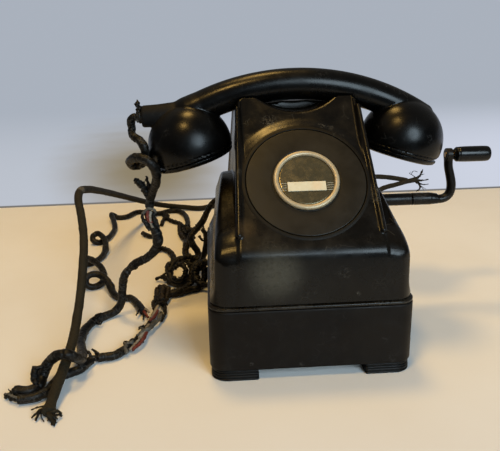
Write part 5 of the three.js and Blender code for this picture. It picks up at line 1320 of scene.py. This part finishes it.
def metal(name, a, b, rough, metallic=1.0, stain=(.05, .035, .02), stain_k=.5, mm=12, brushed=0.0):
    n = Nodes(name)
    c = n.mix(n.remap(n.noise(mm, 5, .7), .35, .7), a, b)
    st = n.math("MULTIPLY", n.remap(n.noise(mm * .35, 6, .75), .52, .70), stain_k)
    c = n.mix(st, c, stain)
    fine = n.noise(.7, 3, .7, vec=n.stretch(1, 1, 1))
    r = n.math("ADD", n.remap(n.noise(mm * .6, 5, .7), .3, .7, rough - .06, rough + .12), n.math("MULTIPLY", st, .25))
    n.bump(fine, .02 + brushed * .02, .5)
    return n.done(c, r, metallic=metallic)


M["ring"] = metal("ring_bright_nickel", (.42, .34, .21), (.48, .40, .27), .40, .35, (.34, .26, .16), .3, 5)
M["badge"] = metal("badge_dark_plate", (.135, .112, .062), (.165, .138, .080), .20, .75, (.13, .11, .062), .05, 9)
M["line"] = metal("badge_line_pale", (.46, .43, .32), (.52, .49, .38), .4, .2, (.12, .1, .07), .4, 3)
M["crank"] = moulded("crank_enamel_dark", (.0036, .0030, .0024), (.0085, .0060, .0042), .28, .5, spec=.2, spots=[((110, 115, 97), 12, .4), ((131, 115, 95), 7, .6)], film=(.09, .07, .05), scr=.7)
M["knob"] = moulded("knob_moulding_gloss", (.0014, .0016, .0017), (.0030, .0028, .0026), .2, .4, spec=.25, film=(.07, .07, .07), scr=.6)
M["bronze"] = metal("pin_bronze", (.30, .19, .09), (.42, .28, .14), .28, 1.0, (.08, .05, .03), .5, 4)
M["steel"] = metal("steel_plated", (.42, .41, .39), (.58, .56, .53), .34, 1.0, (.20, .13, .08), .4, 10)
M["zinc"] = metal("chassis_zinc", (.34, .34, .33), (.48, .48, .46), .42, 1.0, (.20, .17, .12), .5, 16)
M["brass"] = metal("brass_aged", (.50, .34, .14), (.66, .47, .20), .30, 1.0, (.14, .09, .04), .5, 7)
M["magnet"] = metal("magnet_steel_dark", (.055, .055, .058), (.10, .10, .10), .42, .9, (.09, .05, .03), .5, 12)
M["coil"] = rubber("coil_wrap_cloth", (.09, .045, .022), (.15, .08, .04), .6, (.20, .15, .09))
M["terminal"] = moulded("terminal_moulding_brown", (.030, .016, .010), (.05, .028, .018), .4, .6, film=(.10, .08, .06))


def paper(name):
    n = Nodes(name)
    fib = n.noise(.6, 5, .75)
    c = n.mix(n.remap(n.noise(7, 5, .7), .35, .68), (.62, .55, .375), (.68, .61, .44))
    foxed = n.math("MULTIPLY", n.remap(n.noise(4.5, 5, .75), .55, .70), .5)
    c = n.mix(foxed, c, (.52, .40, .23))
    warm = n.math("MULTIPLY", n.spot(on_slope(49, 2, 6.5), 5.5, .2), .35)
    c = n.mix(warm, c, (.72, .47, .25))
    rim = n.remap(n.axis(0), -36.6, -38.0)
    c = n.mix(n.math("MULTIPLY", rim, .5), c, (.55, .42, .25))
    n.bump(fib, .03, .6)
    return n.done(c, n.remap(fib, .3, .7, .62, .8))


M["card"] = paper("card_cream_paper")

DRESS = {
    "upper_moulding": ("case", "case_moulding"), "seam_rim": ("rim", "case_moulding"), "base_moulding": ("base", "base_moulding"),
    "dial_face": ("dial", "dial_moulding"), "dial_lip": ("lip", "case_moulding"), "badge_plate": ("badge", "badge_dark"),
    "badge_rim": ("ring", "bright_ring"), "card_sheet": ("card", "card"), "card_lines_left": ("line", "badge_dark"), "card_lines_right": ("line", "badge_dark"),
    "bushing_flange": ("crank", "crank_steel"), "shaft_rod": ("crank", "crank_steel"), "arm_bar": ("crank", "crank_steel"), "knob_grip": ("knob", "handset_moulding"),
    "pin_rod": ("bronze", "brass"), "handset_body": ("handset", "handset_moulding"), "transmitter_ear_cap": ("handset", "handset_moulding"),
    "receiver_ear_cap": ("handset", "handset_moulding"), "handset_gland": ("gland", "cord_rubber"),
}
for n in pieces:
    if n.startswith("foot_pad"):
        DRESS[n] = ("foot", "foot_rubber")
    if n.startswith("relief_"):
        DRESS[n] = ("gland", "cord_rubber")
for n, ob in pieces.items():
    m, slot = DRESS[n]
    ob.data.materials.clear()
    ob.data.materials.append(M[m])
    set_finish(ob, slot)
for n, kinds in SKINS.items():
    ob = bpy.data.objects[n]
    mi = np.zeros(len(ob.data.polygons), np.int32)
    ob.data.polygons.foreach_get("material_index", mi)
    ob.data.materials.clear()
    for k in kinds:
        ob.data.materials.append(M[k])
    ob.data.polygons.foreach_set("material_index", mi)
    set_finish(ob, "cord_braid" if "braid" in kinds else "cord_rubber")

KEPT = {"case_moulding": "case", "base_moulding": "base", "dial_moulding": "dial", "handset_moulding": "handset", "foot_rubber": "foot", "cord_rubber": "jacket",
        "cord_braid": "braid", "bright_ring": "ring", "badge_dark": "badge", "card": "card", "crank_steel": "crank", "plated_steel": "zinc", "brass": "brass",
        "magnet_steel": "magnet", "coil_wrap": "coil", "terminal_moulding": "terminal"}
SPECIAL = {"gong_left": "steel", "gong_right": "steel", "clapper": "steel", "armature": "steel", "hook_plunger": "handset", "transmitter_capsule": "steel", "receiver_capsule": "steel"}
for node in frame["nodes"]:
    ob = bpy.data.objects.get(node)
    if ob is None or ob.type != "MESH":
        continue
    slot = ob.get("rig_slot") or ob.get("slot") or ""
    if node in SPECIAL:
        m = M[SPECIAL[node]]
    elif any(k in node for k in ("magnet_",)):
        m = M["magnet"]
    elif any(k in node for k in ("gear", "pinion", "terminal_screw", "hook_switch")) or node == "magneto_frame":
        m = M["brass"]
    elif "coil" in node:
        m = M["coil"]
    elif node == "terminal_block":
        m = M["terminal"]
    else:
        m = M["zinc"]
    if not len(ob.data.materials):
        ob.data.materials.append(m)
    for s in ob.material_slots:
        s.material = m

# ------------------------------------------------------------------ floor with painted light, far backdrop glow with painted light and shadow, and lamps
WALL_A, WALL_B = row((-372.3, 502.7, 0)), row((379.6, 517.5, 0))


def floor_material():
    n = Nodes("floor_pale_painted_backdrop")
    # painted light: the floor is darker and bluer towards the front and lighter towards the back and the right, where
    # the lamps would light it more
    c = n.mix(n.remap(n.axis(1), -250, -40), (.725, .735, .765), (.805, .80, .785))
    c = n.mix(n.remap(n.axis(1), -20, 300), c, (.93, .925, .91))
    c = n.mix(n.math("MULTIPLY", n.remap(n.axis(0), -20, 330), .65), c, (.93, .94, .96))
    c = n.mix(n.math("MULTIPLY", n.remap(n.noise(160, 4, .6), .35, .7), .12), c, (.66, .60, .50))
    # painted shade: the floor turns near-black beyond the table's front edge, standing in for the dark room below
    c = n.mix(n.remap(n.axis(1), -345, -395), c, (.02, .02, .02))
    r = n.remap(n.noise(9, 4, .6), .3, .7, .55, .7)
    b = n.b
    n.link(c, b.inputs["Base Color"])
    n.link(r, b.inputs["Roughness"])
    b.inputs["Specular IOR Level"].default_value = .25
    a, e = WALL_A * 1000, WALL_B * 1000
    d = (e - a)[:2] / np.linalg.norm((e - a)[:2])
    nx, ny = -d[1], d[0]
    side = n.math("ADD", n.math("MULTIPLY", n.axis(0), float(nx)), n.math("MULTIPLY", n.axis(1), float(ny)))
    side = n.math("SUBTRACT", side, float(nx * a[0] + ny * a[1]))
    # painted shadow: soft warm shade on the backdrop, low on the left
    fx = n.math("ADD", n.axis(0), 24.05 + 63.5)
    fy = n.math("ADD", n.axis(1), 103.7 + 360.1)
    u = n.math("DIVIDE", n.math("ADD", n.math("DIVIDE", fx, fy), .105), .175)
    w = n.math("DIVIDE", n.math("SUBTRACT", n.math("DIVIDE", 219.1, fy), .205), .100)
    rr = n.math("POWER", n.math("ADD", n.math("MULTIPLY", u, u), n.math("MULTIPLY", w, w)), .5)
    painted_wall_shadow = n.remap(n.math("ADD", rr, n.math("MULTIPLY", n.noise(140, 2, .5), .25)), 1.25, .25)
    # beyond the wall line the floor glows as a backdrop; the glow is painted lighter and bluer to the right and darker
    # further back, as lamps would light a wall
    em = n.t.nodes.new("ShaderNodeEmission")
    g = n.remap(n.axis(0), -500, 900)
    painted_wall_falloff = n.remap(side, 0, 1500)
    near = n.mix(g, (.50, .535, .60), (.66, .70, .82))
    tone = n.mix(painted_wall_falloff, near, (.40, .44, .505))
    tone = n.mix(n.math("MULTIPLY", painted_wall_shadow, .95), tone, (.255, .205, .118))
    # painted shadow: a darker strip at the foot of the backdrop
    tone = n.mix(n.remap(side, 14, 7), tone, (.17, .165, .16))
    n.link(tone, em.inputs["Color"])
    ms = n.t.nodes.new("ShaderNodeMixShader")
    n.link(n.remap(side, -.6, .6), ms.inputs[0])
    n.link(b.outputs[0], ms.inputs[1])
    n.link(em.outputs[0], ms.inputs[2])
    out = n.t.nodes["Material Output"]
    n.link(ms.outputs[0], out.inputs["Surface"])
    return n.m


g = 40
xs = np.linspace(-12, 12, g)
fv = np.array([(x, y, 0) for y in xs for x in xs])
ff = np.array([(j * g + i, j * g + i + 1, (j + 1) * g + i + 1, (j + 1) * g + i) for j in range(g - 1) for i in range(g - 1)])
floor = add_mesh("floor", fv, ff, 0, scale=False)
floor.data.materials.append(floor_material())

world = bpy.data.worlds.new("room")
bpy.context.scene.world = world
world.use_nodes = True
wt = world.node_tree
bg = wt.nodes["Background"]
tc = wt.nodes.new("ShaderNodeTexCoord")
sp = wt.nodes.new("ShaderNodeSeparateXYZ")
wt.links.new(tc.outputs["Generated"], sp.inputs[0])


def wmap(v, a, b):
    n = wt.nodes.new("ShaderNodeMapRange")
    n.interpolation_type = "SMOOTHSTEP"
    wt.links.new(v, n.inputs["Value"])
    n.inputs["From Min"].default_value, n.inputs["From Max"].default_value = a, b
    return n.outputs[0]


def wmix(f, a, b):
    n = wt.nodes.new("ShaderNodeMix")
    n.data_type = "RGBA"
    wt.links.new(f, n.inputs[0])
    for s, q in ((n.inputs[6], a), (n.inputs[7], b)):
        if hasattr(q, "links"):
            wt.links.new(q, s)
        else:
            s.default_value = (*q, 1)
    return n.outputs[2]


sides = wmix(wmap(sp.outputs[1], -.10, .40), (.060, .068, .080), (.40, .44, .505))
sides = wmix(wmap(sp.outputs[2], .095, .17), sides, wmix(wmap(sp.outputs[1], -.10, .40), (.060, .068, .080), (.15, .15, .145)))
left = wmix(wmap(sp.outputs[0], -.45, -.75), sides, (.05, .055, .06))
col = wmix(wmap(sp.outputs[2], .34, .62), left, (.17, .172, .165))
wt.links.new(col, bg.inputs["Color"])
bg.inputs["Strength"].default_value = 1.0


def area(name, direction, dist, size, irradiance, color):
    d = Vector(direction).normalized()
    l = bpy.data.lights.new(name, "AREA")
    l.shape = "DISK"
    l.size = size
    l.energy = irradiance * math.pi * dist * dist
    l.color = color
    o = bpy.data.objects.new(name, l)
    bpy.context.scene.collection.objects.link(o)
    o.location = Vector((-.02, 0, .08)) + d * dist
    o.rotation_mode = "QUATERNION"
    o.rotation_quaternion = d.to_track_quat("Z", "Y")
    return o


area("warm_over", (-.10, .20, .97), 1.5, .36, 1.15, (1.0, .61, .17))
area("warm_key", (-.25, -.38, .89), 1.7, .30, 1.05, (1.0, .61, .17))
area("cool_front", (.35, -.85, .40), 1.9, 1.0, 2.35, (.74, .93, 1.06))

view = bpy.context.scene.view_settings
view.view_transform = "Standard"
view.look = "None"
